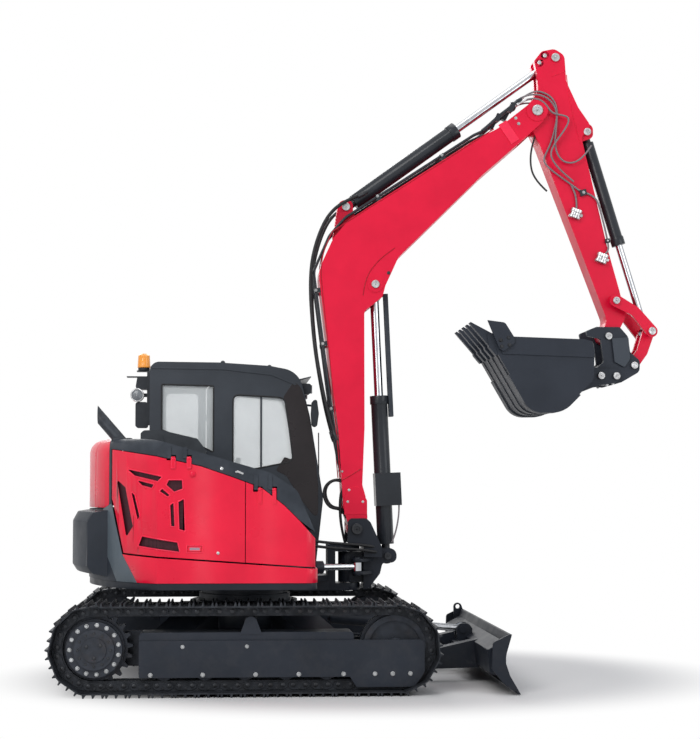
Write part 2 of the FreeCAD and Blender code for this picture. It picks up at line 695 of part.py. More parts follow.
def swing_cylinder():
    """Lies flat beside the nose: made upright in xz and laid down."""
    barrel, rod = ram(SWING_CYL_BASE, SWING_CYL_ROD, 600, 175, 46, 28, 42, 22, 34)
    pieces = []
    for one in (barrel, rod):
        one.rotate(V(0, 0, 0), V(1, 0, 0), -90)
        one.translate(V(0, 0, SWING_CYL_Z))
        pieces.append(one)
    return pieces


# ---------------------------------------------------------------- boom
def boom():
    """Boom box with its foot boss, cylinder lugs and the fork that holds the arm."""
    tip = ARM_PIVOT
    side = [
        (870, 1235, 60),
        (929, 1165, 70),
        (1000, 1200, 60),
        (1023, 1330, 60),
        (1007, 1507, 80),
        (980, 1600, 80),
        (1000, 2075, 300),
        (1000, 3060, 60),
        (1155, 3185, 40),
        (1180, 3280, 60),
        (1245, 3420, 60),
        (1290, 3520, 120),
        (2020, 4240, 200),
        (2364, 4542, 60),
        (2540, 4705, 60),
        (2590, 4800, 90),
        (2480, 4900, 90),
        (2138, 4629, 200),
        (1960, 4540, 200),
        (870, 3836, 250),
        (740, 3680, 150),
        (612, 3400, 300),
        (782, 2033, 500),
        (820, 1420, 150),
    ]
    body = slab(side, -BOOM_HALF, BOOM_HALF)
    reach = 330.0
    fork = rod_y(tip, reach, -ARM_HALF - CLEAR, ARM_HALF + CLEAR)
    rod_slot = [
        (995, 2700),
        (BOOM_CYL_ROD[0] - 100, 3060),
        (BOOM_CYL_ROD[0] - 100, 3380, 60),
        (1400, 3380),
        (1400, 2700),
    ]
    slot = slab(rod_slot, -LUG_GAP, LUG_GAP)
    lug = [
        (742, 3700),
        (ARM_CYL_BASE[0] - 60, ARM_CYL_BASE[1] + 60, 59),
        (ARM_CYL_BASE[0] + 60, ARM_CYL_BASE[1] + 60, 59),
        (ARM_CYL_BASE[0] + 60, ARM_CYL_BASE[1] - 40, 40),
        (960, 3820),
    ]
    lugs = pair(lug, LUG_GAP, LUG_GAP + PLATE)
    body = cut(fuse(body, lugs), fork, slot)
    pins = bosses(BOOM_CYL_ROD, PIN_R, LUG_GAP + 2, BOOM_HALF + 12)
    pins.append(rod_y(ARM_CYL_BASE, PIN_R, -LUG_GAP - PLATE - 12, LUG_GAP + PLATE + 12))
    arm_pin = rod_y(tip, 40, -BOOM_HALF - 14, BOOM_HALF + 14)
    foot = rod_y(BOOM_FOOT, 75, -BOOM_HALF, BOOM_HALF)
    pads = bosses(BOOM_CYL_ROD, 68, BOOM_HALF - 1, BOOM_HALF + 6)
    pads += bosses(tip, 92, BOOM_HALF - 1, BOOM_HALF + 8)
    body = fuse(body, pads)
    body = cut(fuse(body, foot), rod_y(BOOM_FOOT, 45 + PIN_FIT, -BOOM_HALF - 1, BOOM_HALF + 1))
    return fuse(body, pins, arm_pin)


def tube(route, y, radius, bend):
    """Pipe along a route of straight runs joined by tangent arcs, at one Y."""
    edges = []
    last = V(route[0][0], y, route[0][1])
    for before, here, after in zip(route, route[1:], route[2:]):
        corner = V(here[0], y, here[1])
        back = (V(before[0], y, before[1]) - corner).normalize()
        ahead = (V(after[0], y, after[1]) - corner).normalize()
        half = back.getAngle(ahead) / 2
        reach = min(bend / math.tan(half), 0.45 * math.dist(before, here), 0.45 * math.dist(here, after))
        first, end = corner + back * reach, corner + ahead * reach
        middle = corner + (back + ahead).normalize() * (reach / math.cos(half) - reach * math.tan(half))
        edges += [Part.LineSegment(last, first).toShape(), Part.Arc(first, middle, end).toShape()]
        last = end
    edges.append(Part.LineSegment(last, V(route[-1][0], y, route[-1][1])).toShape())
    ring = Part.Wire(Part.makeCircle(radius, V(route[0][0], y, route[0][1]), edges[0].tangentAt(0)))
    return Part.Wire(edges).makePipeShell([ring], True, False)


def boom_pipes(boom_shape):
    """Four steel pipes along the boom's back, two on each side of the arm cylinder, with their clamps."""
    route = [(858, 1500), (750, 2033), (574, 3400), (706, 3702), (842, 3858), (1940, 4578), (2060, 4634)]
    pieces = [tube(route, y, PIPE_R, 160) for y in (-122.0, -94.0, 94.0, 122.0)]
    for run, share in ((0, 0.4), (1, 0.15), (1, 0.55), (1, 0.88), (4, 0.25), (4, 0.75)):
        first, second = route[run], route[run + 1]
        place = along(first, second, share * math.dist(first, second))
        angle = math.degrees(math.atan2(second[1] - first[1], second[0] - first[0]))
        for side in (-108.0, 108.0):
            clamp = Part.makeBox(36, 56, 64, V(-18, side - 28, -50))
            clamp.rotate(V(0, 0, 0), V(0, 1, 0), -angle)
            clamp.translate(V(place[0], 0, place[1]))
            pieces.append(clamp)
    return cut(fuse(pieces), boom_shape)


# ---------------------------------------------------------------- arm
def arm():
    """Arm box: fork at the top for the arm cylinder, lugs for the bucket cylinder, tip boss."""
    side = [
        (2398, 4800, 60),
        (2460, 4620, 40),
        (2509, 4524, 60),
        (2865, 3579, 300),
        (3085, 2990, 100),
        (3005, 2862, 60),
        (3081, 2785, 70),
        (3165, 2880, 70),
        (3243, 3030, 60),
        (3190, 3260, 60),
        (3096, 3605, 300),
        (2877, 4576, 60),
        (2960, 4680, 50),
        (2853, 4836, 60),
        (2750, 5062, 60),
        (2736, 5290, 70),
        (2650, 5345, 70),
        (2540, 5322, 45),
        (2472, 5236, 40),
        (2497, 5116, 60),
        (2505, 4979, 60),
    ]
    body = slab(side, -ARM_HALF, ARM_HALF)
    inner = (ARM_PIVOT[0] + 40, ARM_PIVOT[1] + 180)
    rod_slot = [
        (2300, inner[1], 0),
        (inner[0] + 150, inner[1] - 60, 60),
        (2900, 5350),
        (2300, 5500),
    ]
    slot = slab(rod_slot, -LUG_GAP, LUG_GAP)
    lug = [
        (2830, 4760),
        (BUCKET_CYL_BASE[0] + 56, BUCKET_CYL_BASE[1] + 56, 55),
        (BUCKET_CYL_BASE[0] + 56, BUCKET_CYL_BASE[1] - 44, 44),
        (2880, 4545),
        (2780, 4560),
    ]
    lugs = pair(lug, LUG_GAP, LUG_GAP + PLATE)
    ram_slot = [
        (2800, 4720),
        (BUCKET_CYL_BASE[0] - 75, BUCKET_CYL_BASE[1] - 20),
        (2950, 4300),
        (3400, 4300),
        (3100, 4720),
    ]
    gap = slab(ram_slot, -LUG_GAP, LUG_GAP)
    body = cut(fuse(body, lugs), slot, gap)
    pin_holes = [rod_y(ARM_PIVOT, 40 + PIN_FIT, -200, 200), rod_y(BUCKET_PIVOT, PIN_R + PIN_FIT, -200, 200)]
    body = cut(body, pin_holes)
    pins = bosses(ARM_CYL_ROD, PIN_R, LUG_GAP + 2, ARM_HALF + 12)
    pins.append(rod_y(BUCKET_CYL_BASE, PIN_R, -LUG_GAP - PLATE - 12, LUG_GAP + PLATE + 12))
    pins += bosses(GUIDE_PIVOT, PIN_R, ARM_HALF - 20, ARM_HALF + 90)
    return fuse(body, pins)


# ---------------------------------------------------------------- bucket linkage
def guide_link():
    """Two bent plates outside the arm, from the arm to the bucket cylinder's rod."""
    y0, y1 = ARM_HALF + PLATE + 2 * CLEAR + 2, ARM_HALF + 2 * PLATE + 2 * CLEAR + 2
    bend = (GUIDE_PIVOT[0] + 165, GUIDE_PIVOT[1] - 90, 42)
    ends = [(GUIDE_PIVOT[0], GUIDE_PIVOT[1], 52), (GUIDE_ROD[0], GUIDE_ROD[1], 50)]
    piece = fuse(hull([ends[0], bend], y0, y1), hull([bend, ends[1]], y0, y1))
    piece = cut(piece, rod_y(GUIDE_PIVOT, PIN_R + PIN_FIT, y0 - 1, y1 + 1))
    pin = rod_y(GUIDE_ROD, PIN_R, LUG_GAP + 2, y1 + 12)
    piece = fuse(piece, pin)
    return both(piece)


def bucket_link():
    """Bent link between the cylinder's rod and the coupler, its sides joined by a cross tube."""
    y0, y1 = LUG_GAP + 5, LUG_GAP + 5 + PLATE
    bend = (GUIDE_ROD[0] - 55, GUIDE_ROD[1] - 165, 46)
    top, low = (GUIDE_ROD[0], GUIDE_ROD[1], 50), (BUCKET_LINK[0], BUCKET_LINK[1], 45)
    plate = fuse(hull([top, bend], y0, y1), hull([bend, low], y0, y1))
    piece = fuse(plate, mirrored(plate), rod_y(bend[:2], 28, -y0 - 1, y0 + 1))
    holes = [rod_y(GUIDE_ROD, PIN_R + PIN_FIT, -200, 200), rod_y(BUCKET_LINK, PIN_R + PIN_FIT, -200, 200)]
    return cut(piece, holes)


def coupler():
    """Quick coupler: side plates on the arm's tip, with the two hooks over the bucket's pins."""
    y0, y1 = ARM_HALF + CLEAR, ARM_HALF + CLEAR + PLATE
    side = [
        (2900, 2862, 10),
        (2890, 2905, 15),
        (2978, 2941, 20),
        (3180, 2940, 30),
        (3250, 2860, 60),
        (3267, 2726, 30),
        (3350, 2655, 50),
        (3345, 2560, 50),
        (3190, 2470, 50),
        (3090, 2440, 50),
        (2945, 2480, 50),
        (2950, 2570, 40),
        (3040, 2640, 30),
        (3015, 2838, 20),
    ]
    plates = pair(side, y0, y1)
    floor = [(2975, 2590), (3060, 2640, 20), (3200, 2560, 20), (3200, 2490), (3090, 2450, 30), (2975, 2480)]
    bed = slab(floor, -y0 - 1, y0 + 1)
    pins = [rod_y(BUCKET_PIVOT, PIN_R, -y1 - 12, y1 + 12)]
    link_pins = bosses(BUCKET_LINK, PIN_R, y0 - 2, y1 + 12)
    piece = fuse(plates, bed, pins, link_pins)
    holes = [rod_y(pin, PIN_R + PIN_FIT, -200, 200) for pin in (COUPLER_PIN_A, COUPLER_PIN_B)]
    return cut(piece, holes)


def bucket():
    """Bucket shell open at the top, with rim bands, heel wear plates, side cutters and hinge ears."""
    outer = [
        LIP[0],
        LIP[1],
        (2356, 2205, 170),
        (2620, 2208, 220),
        (2880, 2470, 100),
        (2890, 2690, 60),
        (2870, 2790),
        (2800, 2806),
    ]
    shell = slab(outer, -BUCKET_HALF, BUCKET_HALF)
    inner = [
        (2000, 2900),
        (2070, 2835),
        (2106, 2690, 45),
        (2369, 2227, 148),
        (2611, 2230, 198),
        (2857, 2480, 80),
        (2865, 2690, 40),
        (2840, 2900),
    ]
    hollow = slab(inner, -BUCKET_HALF + BUCKET_PLATE, BUCKET_HALF - BUCKET_PLATE)
    ear = [
        (2780, 2640, 30),
        (2900, 2600, 40),
        (3004, 2580, 57),
        (3135, 2578, 57),
        (3195, 2520, 50),
        (3135, 2462, 57),
        (2980, 2440, 57),
        (2800, 2370, 60),
        (2740, 2400),
    ]
    y0 = ARM_HALF + CLEAR + PLATE + CLEAR
    ears = pair(ear, y0, y0 + PLATE)
    rim = [(2046, 2829), (2800, 2805), (2869, 2789), (2889, 2690), (2880, 2655), (2120, 2680)]
    bands = pair(rim, BUCKET_HALF - 1, BUCKET_HALF + 10)
    cutter = [
        (1993, 2956),
        (2137, 2938, 40),
        (2215, 2812, 20),
        (2215, 2770, 20),
        (2125, 2699, 15),
        (2090, 2720),
        (2052, 2812),
    ]
    cutters = pair(cutter, BUCKET_HALF + 9, BUCKET_HALF + 32)
    grown = [(2230, 2560), (2170, 2505), (2349, 2193, 176), (2625, 2196, 226), (2770, 2341), (2700, 2420)]
    strips = pair(grown, BUCKET_HALF - 110, BUCKET_HALF)
    body = fuse(shell, bands, cutters, ears, strips)
    body = cut(body, hollow)
    far = y0 + PLATE + 14
    pins = [rod_y(COUPLER_PIN_A, PIN_R, -far, far), rod_y(COUPLER_PIN_B, PIN_R, -far, far)]
    return fuse(body, pins)


def tooth_places():
    """Y of each tooth."""
    first = -BUCKET_HALF + TOOTH_WIDTH / 2 + 5
    step = -2 * first / (TOOTH_COUNT - 1)
    return [first + i * step for i in range(TOOTH_COUNT)]


def bucket_teeth():
    """Wedge teeth on their adapters over the lip."""
    tip = TOOTH_TIP
    tooth = [(tip[0] + 8, tip[1] + 3), (LIP[0][0] + 20, LIP[0][1] + 8), (LIP[1][0] + 25, LIP[1][1] + 10)]
    tooth += [(LIP[1][0] - 8, LIP[1][1] - 6), (tip[0] - 4, tip[1] - 6)]
    adapter = [(1990, 2862, 20), (2065, 2846, 10), (2112, 2690), (2070, 2664, 10), (2010, 2735, 30)]
    teeth = []
    for y in tooth_places():
        teeth.append(slab(tooth, y - TOOTH_WIDTH / 2 + 10, y + TOOTH_WIDTH / 2 - 10))
        teeth.append(slab(adapter, y - TOOTH_WIDTH / 2, y + TOOTH_WIDTH / 2))
    return teeth


# ---------------------------------------------------------------- house
def house(inset):
    """The body's outer volume, shrunk by inset on every face but its underside."""
    i = inset
    plan = [
        (-TAIL_RADIUS - 20, -BODY_HALF + i),
        (HOUSE_FRONT - i, -BODY_HALF + i, 90 - i),
        (HOUSE_FRONT - i, HOUSE_LEFT - i),
        (-830 - i, HOUSE_LEFT - i),
        (-830 - i, BODY_HALF - i),
        (-TAIL_RADIUS - 20, BODY_HALF - i),
    ]
    side = [
        (-TAIL_RADIUS - 20, SKIRT_Z),
        (HOUSE_FRONT - i, SKIRT_Z),
        (HOUSE_FRONT - i, 1190 - i, 60),
        (390 - i, 1560 - i, 120),
        (190 - i, 1690 - i, 150),
        (-720 - i, HOUSE_TOP - 12 - i, 900),
        (-TAIL_RADIUS - 20, HOUSE_TOP - i),
    ]
    radius, top = TAIL_RADIUS - i, HOUSE_TOP - i
    tail = [(0, SKIRT_Z), (radius, SKIRT_Z), (radius, top, 110), (0, top)]
    upright = slab(plan, SKIRT_Z, HOUSE_TOP + 100, "xy")
    return upright.common(slab(side, -1300, 1300)).common(spun(tail))


def house_pieces():
    """Covers, skirt, rear hood, rear corner, trim, corner panels and grille screen, all from one shell."""
    shell = cut(house(0), house(PANEL))
    far = -1300.0
    boundary = [(-1045, 1890), (-682, 1814), (-344, 1739), (-103, 1656)]
    boundary += [(122, 1573), (295, 1438), (408, 1325)]
    seam_rear, seam_front = (-946, 1062), (483, 962)
    slope = (seam_rear[1] - seam_front[1]) / (seam_rear[0] - seam_front[0])

    def seam(x):
        return seam_rear[1] + slope * (x - seam_rear[0])

    low = SKIRT_Z - 1
    corner = [(-1138, 1387), (-1125, 1412), (-1052, 1456), (-956, 1066)]
    corner += [(-831, low), (-1000, low), (-1113, 1103)]
    corner_zone = [slab(corner, far, -300), slab(corner, 300, -far)]
    panels = shell.common(fuse(corner_zone))

    edge = [(-956 + SEAM, seam(-956) + SEAM), (-1046 + SEAM, 1456), (-1046, 1490), (-1046, 1876)]
    cover = [(530, seam(530) + SEAM), (530, 1190)] + list(reversed(boundary[1:])) + list(reversed(edge))
    cover_shell = shell.common(slab(cover, far, -400))
    rear_cover = cover_shell.common(box(-1300, COVER_SPLIT - 3, far, -700, 0, 3000))
    front_cover = cover_shell.common(box(COVER_SPLIT + 3, 600, far, -1032, 0, 3000))
    rear_cover = cut(rear_cover, [slab(shape, far, -600) for shape in GRILLE])
    recess = box(-450, -327, -BODY_HALF - 1, -BODY_HALF + 10, 1085, 1140)
    grip = [(-432, 1098, 8), (-347, 1098, 8), (-347, 1127, 8), (-432, 1127, 8)]
    paddle = slab(grip, -BODY_HALF + 3, -BODY_HALF + 12)
    rear_cover = fuse(cut(rear_cover, recess), paddle)
    screen_zone = [(-1000, 1130), (-1020, 1800), (-620, 1722), (-480, 1722), (-480, 1090)]
    screen = cut(house(PANEL + FIT), house(PANEL + FIT + SCREEN)).common(slab(screen_zone, far, -700))

    skirt_zone = slab([(-1080, low), (600, low), (600, seam(600)), (-1080, seam(-1080))], far, -far)
    swing_window = box(400, 600, -430, 60, 0, SWING_CYL_Z + 90)
    lower = shell.common(skirt_zone).common(box(-960, 600, far, 60, 0, 3000))
    lower = cut(lower, box(-1300, 400, -600, 60, 0, 3000), swing_window, corner_zone)

    hood_low = CASTING_TOP + SEAM
    rear_hood = shell.common(box(-1300, TAIL_X - 4, HOOD_RIGHT, 900, hood_low, 3000))
    notch = [(-1200, 1300), (-1131, 1412 + CLEAR), (-1052, 1456 + CLEAR + 4), (-1000, 1300)]
    rear_hood = cut(rear_hood, slab(notch, far, -300), slab(notch, 300, -far))
    rear_corner = shell.common(box(-1300, TAIL_X + 2 - FIT, -900, HOOD_RIGHT - CLEAR, hood_low, 3000))
    rear_corner = cut(rear_corner, corner_zone)

    trim = shell.common(box(TAIL_X + 2, 600, far, -far, 0, 3000))
    gap = [(600, seam(600) - 1), (600, 1180)] + [(x, z + CLEAR) for x, z in reversed(boundary[1:])]
    gap += [(-1046 - CLEAR, 1876 + CLEAR), (-1046 - CLEAR, 1480), (-956 - CLEAR, seam(-956) - 1)]
    trim = cut(trim, slab(gap, far, -400), skirt_zone, swing_window, corner_zone)

    outward = V(0, -1, 0)
    rear_line = hinges(V(0, -BODY_HALF - 6, REAR_HINGE[1]), V(1, 0, 0), outward, REAR_HINGE[0], 80)
    trim, rear_cover = hang(trim, rear_cover, rear_line)
    front_line = hinges(V(0, -BODY_HALF - 6, FRONT_HINGE[1]), V(1, 0, 0), outward, FRONT_HINGE[0], 110)
    trim, front_cover = hang(trim, front_cover, front_line)
    hood_line = hinges(V(HOOD_HINGE[0], 0, HOOD_HINGE[1]), V(0, -1, 0), V(0, 0, 1), (-420, 250))
    trim, rear_hood = hang(trim, rear_hood, hood_line)
    return {
        "side_cover_rear": rear_cover,
        "side_cover_front": front_cover,
        "grille_screen": screen,
        "lower_skirt": lower,
        "rear_hood": rear_hood,
        "rear_corner": rear_corner,
        "hood_top": trim,
        "corner_panels": panels,
    }


def exhaust():
    """Leaning pipe beside the rear hood, its mouth cut upright."""
    foot, mouth = V(-960, EXHAUST_Y, 1909), V(-1260, EXHAUST_Y, 2255)
    run = mouth - foot
    pipe = Part.makeCylinder(EXHAUST_R, run.Length, foot, run)
    bore = Part.makeCylinder(EXHAUST_R - 4, run.Length, foot, run)
    hollow = bore.common(box(-1300, -990, -1000, 0, 2040, 3000))
    top = HOUSE_TOP + 6
    collar = slab([(-1050, 1800), (-900, 1800), (-900, top, 10), (-1050, top, 10)], EXHAUST_Y - 75, EXHAUST_Y + 75)
    return cut(fuse(pipe, collar), hollow, house(-FIT), box(-1400, -1177, -1000, 0, 1500, 3000))


def air_intake():
    """Raised cover on the hood, in front of the exhaust."""
    profile = [
        (-832, 1700),
        (-832, 2008, 20),
        (-808, 2031, 30),
        (-679, 2036, 40),
        (-383, 1966, 30),
        (-318, 1880, 20),
        (-318, 1700),
    ]
    bulge = slab(profile, -690, -60)
    ends = slab([(-700, 1700), (-672, 2060, 0), (-78, 2060), (-50, 1700)], -900, -300, "yz")
    louvers = [box(-900, -800, -640, -120, z, z + 9) for z in (1972, 1990)]
    return cut(bulge.common(ends), house(-FIT), louvers)


def counterweight(panels):
    """Tail casting below the rear hood, with seats for the corner panels."""
    tail = rod_z(0, 0, TAIL_RADIUS, SKIRT_Z, CASTING_TOP)
    wedge = slab([(TAIL_X - 4, SKIRT_Z), (-1000, SKIRT_Z), (TAIL_X - 4, 1025)], -1300, 1300)
    return cut(tail.common(fuse(box(-1400, TAIL_X - 3, -1300, 1300, 0, 3000), wedge)), panels)


def add_on_weight():
    """Extra weight bolted behind the tail casting."""
    profile = [
        (TAIL_RADIUS + FIT, 880),
        (TAIL_RADIUS + 100, 905, 20),
        (TAIL_RADIUS + 135, 960, 20),
        (TAIL_RADIUS + 135, 1310, 20),
        (TAIL_RADIUS + 95, 1385, 20),
        (TAIL_RADIUS + FIT, 1400),
    ]
    return spun(profile).common(box(-1500, -1000, -700, 700, 0, 3000))


def engine():
    return box(-990, -640, -620, 10, DECK_Z + DECK_PLATE, 1480)


# ---------------------------------------------------------------- cab
def cab_volume(inset):
    """Cab as a solid, shrunk by inset."""
    i = inset
    side = [
        (CAB_REAR + i, CAB_FLOOR + i, 60),
        (600 - i, CAB_FLOOR + i, 60),
        (666 - i, 1488, 300),
        (554 - i, 2178, 400),
        (458 - i, 2566 - i, 240),
        (210, 2613 - i, 200),
        (-222, 2640 - i),
        (CAB_REAR + i, 2645 - i, 80),
    ]
    return slab(side, CAB_RIGHT + i, CAB_LEFT - i)


def cab_pieces():
    """The cab's walls, roof, floor, door and panes, all from one shell."""
    shell = cut(cab_volume(0), cab_volume(CAB_WALL))
    roof_line = [(-900, 2560), (150, 2545), (360, 2480), (480, 2420), (700, 2700), (-900, 2700)]
    roof_zone = slab(roof_line, 0, 1200)
    roof = shell.common(roof_zone)
    floor_zone = box(-900, 700, 0, 1200, 800, CAB_FLOOR + CAB_WALL + 30)
    floor = shell.common(floor_zone)
    walls = cut(shell, roof_zone, floor_zone)

    rear_window = [(-705, 2065, 12), (-500, 1990, 60), (-266, 1876, 12), (-266, 2440, 12), (-705, 2452, 12)]
    front_window = [(-102, 1700, 60), (411, 1799, 60), (345, 2342, 80), (-102, 2368, 60)]
    left_window = [(-715, 1800, 50), (-420, 1800, 50), (-420, 2440, 50), (-715, 2440, 50)]
    screen = [(150, 1480, 60), (990, 1480, 60), (990, 2370, 60), (150, 2370, 60)]
    low_screen = [(150, 1050, 60), (990, 1050, 60), (990, 1420, 60), (150, 1420, 60)]
    back_window = [(180, 2000, 60), (960, 2000, 60), (960, 2450, 60), (180, 2450, 60)]
    windows = [
        slab(rear_window, 0, 300),
        slab(front_window, 0, 300),
        slab(left_window, 900, 1200),
        slab(screen, 380, 800, "yz"),
        slab(low_screen, 480, 800, "yz"),
        slab(back_window, -900, -700, "yz"),
    ]
    opening = [
        (-350, 1000, 40),
        (540, 1000, 60),
        (585, 1480, 300),
        (490, 2130, 300),
        (400, 2440, 100),
        (-350, 2520, 50),
    ]
    door_shape = [
        (-344, 1006, 36),
        (534, 1006, 56),
        (579, 1480, 296),
        (484, 2128, 296),
        (395, 2435, 96),
        (-344, 2512, 46),
    ]
    door_window = [(-280, 1700, 50), (505, 1700, 50), (440, 2060, 200), (350, 2370, 60), (-280, 2440, 50)]
    doorway = slab(opening, 900, 1200)
    walls = cut(walls, windows, doorway)
    roof = cut(roof, doorway)
    low_door_window = [(-280, 1100, 50), (470, 1100, 50), (505, 1600, 50), (-280, 1600, 50)]
    door_panes = [slab(door_window, 900, 1200), slab(low_door_window, 900, 1200)]
    door = cut(slab(door_shape, CAB_LEFT - DOOR_PLATE, CAB_LEFT), door_panes)
    line = hinges(V(DOOR_HINGE[0], DOOR_HINGE[1], 0), V(0, 0, -1), V(0, 1, 0), (-1150, -2250))
    walls, door = hang(walls, door, line)
    grip = [(480, 1622, 10), (545, 1622, 10), (545, 1664, 10), (480, 1664, 10)]
    handle = slab(grip, CAB_LEFT - 1, CAB_LEFT + 14)
    door = fuse(door, handle)

    pane = cut(cab_volume(GLASS_INSET), cab_volume(GLASS_INSET + GLASS))
    bar_zone = box(130, 146, 0, 300, 1600, 2500)
    near = CAB_RIGHT + GLASS_INSET
    slider = slab(front_window, near - 8, near + GLASS + 8).common(bar_zone)
    panes = [cut(pane.common(window), slider) for window in windows]
    sheet = slab(door_shape, CAB_LEFT - GLASS_INSET - GLASS, CAB_LEFT - GLASS_INSET)

    gutter = [(-800, 2586), (-189, 2578), (226, 2532), (425, 2448)]
    gutter += [(440, 2458), (240, 2548), (-189, 2596), (-800, 2604)]
    rails = slab(gutter, CAB_RIGHT - 8, CAB_LEFT + 8)
    roof = fuse(roof, cut(rails, cab_volume(0)))
    visor = slab([(440, 2500), (566, 2530), (566, 2522), (440, 2488)], CAB_RIGHT + 60, CAB_LEFT - 60)
    roof = fuse(roof, cut(visor, cab_volume(0)))
    right_side = walls.common(box(-900, 700, 0, CAB_RIGHT + CAB_WALL, 800, 2700))
    left_side = walls.common(box(-900, 700, CAB_LEFT - CAB_WALL, 1200, 800, 2700))
    between = walls.common(box(-900, 700, CAB_RIGHT + CAB_WALL, CAB_LEFT - CAB_WALL, 800, 2700))
    return {
        "cab_right_side": fuse(right_side, slider),
        "cab_left_side": left_side,
        "cab_front": between.common(box(0, 700, 0, 1200, 800, 2520)),
        "cab_rear": between.common(box(-900, 0, 0, 1200, 800, 2700)),
        "cab_roof": roof,
        "cab_floor": floor,
        "cab_door": door,
        "cab_glass": group(panes),
        "door_glass": group([sheet.common(one) for one in door_panes]),
    }


def controls():
    """Consoles with their levers on each side of the seat, travel levers with pedals, and the monitor."""
    low = CAB_FLOOR + CAB_WALL + FIT
    pieces = []
    console = [(-420, low), (-130, low, 20), (-40, 1540, 40), (-90, 1590, 30), (-430, 1560, 60)]
    for inner, outer in ((205, 300), (840, 935)):
        body = slab(console, inner, outer)
        middle = (inner + outer) / 2
        stick = Part.makeCone(14, 9, 150, V(-100, middle, 1570), V(0.15, 0, 1))
        grip = Part.makeCone(17, 24, 110, V(-78, middle, 1700), V(0.2, 0, 1))
        knob = Part.makeSphere(24, V(-56, middle, 1812))
        pieces.append(fuse(body, stick, grip, knob))
    stand = box(300, 400, 430, 710, low, low + 40)
    for y in (500, 640):
        lever = Part.makeCylinder(9, 560, V(350, y, low + 30), V(-0.18, 0, 1))
        grip = Part.makeCylinder(17, 130, V(252, y, low + 580), V(-0.18, 0, 1))
        pedal = slab([(300, low + 39), (390, low + 39), (440, low + 95), (425, low + 105)], y - 45, y + 45)
        stand = fuse(stand, lever, grip, pedal)
    pieces.append(stand)
    post = box(330, 370, 190, 230, low, 1520)
    monitor = slab([(300, 1500, 15), (350, 1500, 15), (400, 1670, 20), (360, 1690, 20)], 130, 300)
    pieces.append(fuse(post, monitor))
    return group(pieces)


def cab_fittings():
    """Work lamps, mirror and beacon on their brackets, seated on the cab."""
    skin = cab_volume(-FIT)
    lamps = []
    for y in (190, 950):
        body = slab([(400, 2375, 12), (558, 2375, 25), (575, 2468, 25), (430, 2472, 12)], y - 50, y + 50)
        lamps.append(cut(body, skin))
    face = [(568, 2100, 25), (606, 2086, 20), (622, 2200, 60), (606, 2322, 25), (568, 2310, 25), (560, 2200, 80)]
    mirror = slab(face, -60, 95)
    mirror_bar = fuse(
        Part.makeCylinder(9, 150, V(590, 20, 2270), V(-0.75, 0.6, 0.1)),
        rod_y((590, 2270), 14, 0, 40),
    )
    mirror = cut(fuse(mirror, mirror_bar), skin)
    plate = box(CAB_REAR - 26, CAB_REAR - FIT, 110, 240, 2110, 2560)
    arm = slab([(-1005, 2516), (CAB_REAR - 20, 2516), (CAB_REAR - 20, 2524), (-1005, 2524)], 120, 200)
    body = slab([(-932, 2412, 25), (CAB_REAR - 20, 2412), (CAB_REAR - 20, 2518), (-915, 2518, 15)], 110, 230)
    lamp = fuse(
        Part.makeCone(57, 35, 45, V(-914, 150, 2362), V(0, 1, 0)),
        Part.makeCylinder(57, 45, V(-914, 105, 2362), V(0, 1, 0)),
        box(-914, CAB_REAR - 20, 150, 180, 2350, 2380),
    )
    back = CAB_REAR - 20
    can = slab([(-930, 2085, 25), (back, 2085, 20), (back, 2305, 20), (-930, 2305, 25)], 120, 215)
    rear = fuse(plate, arm, body, lamp, can)
    shelf = fuse(
        slab([(-930, 2576), (CAB_REAR - FIT, 2576), (CAB_REAR - FIT, 2586), (-930, 2586)], 270, 340),
        box(CAB_REAR - 12, CAB_REAR - FIT, 270, 340, 2500, 2586),
    )
    base = rod_z(-871, 305, 50, 2586, 2612)
    dome = Part.makeCone(56, 50, 105, V(-871, 305, 2612), V(0, 0, 1))
    cap = Part.makeCone(50, 30, 16, V(-871, 305, 2717), V(0, 0, 1))
    return group(lamps, mirror, rear, fuse(shelf, base)), fuse(dome, cap)


def seat():
    base = box(-480, -60, 340, 800, CAB_FLOOR + CAB_WALL + FIT, 1250)
    cushion = slab([(-470, 1250), (60, 1250, 40), (60, 1370, 50), (-470, 1350)], 320, 820)
    back = slab([(-500, 1340), (-360, 1340, 40), (-470, 2050, 60), (-610, 2030, 40)], 330, 810)
    return fuse(base, cushion, back)


# ---------------------------------------------------------------- main
nodes = {}


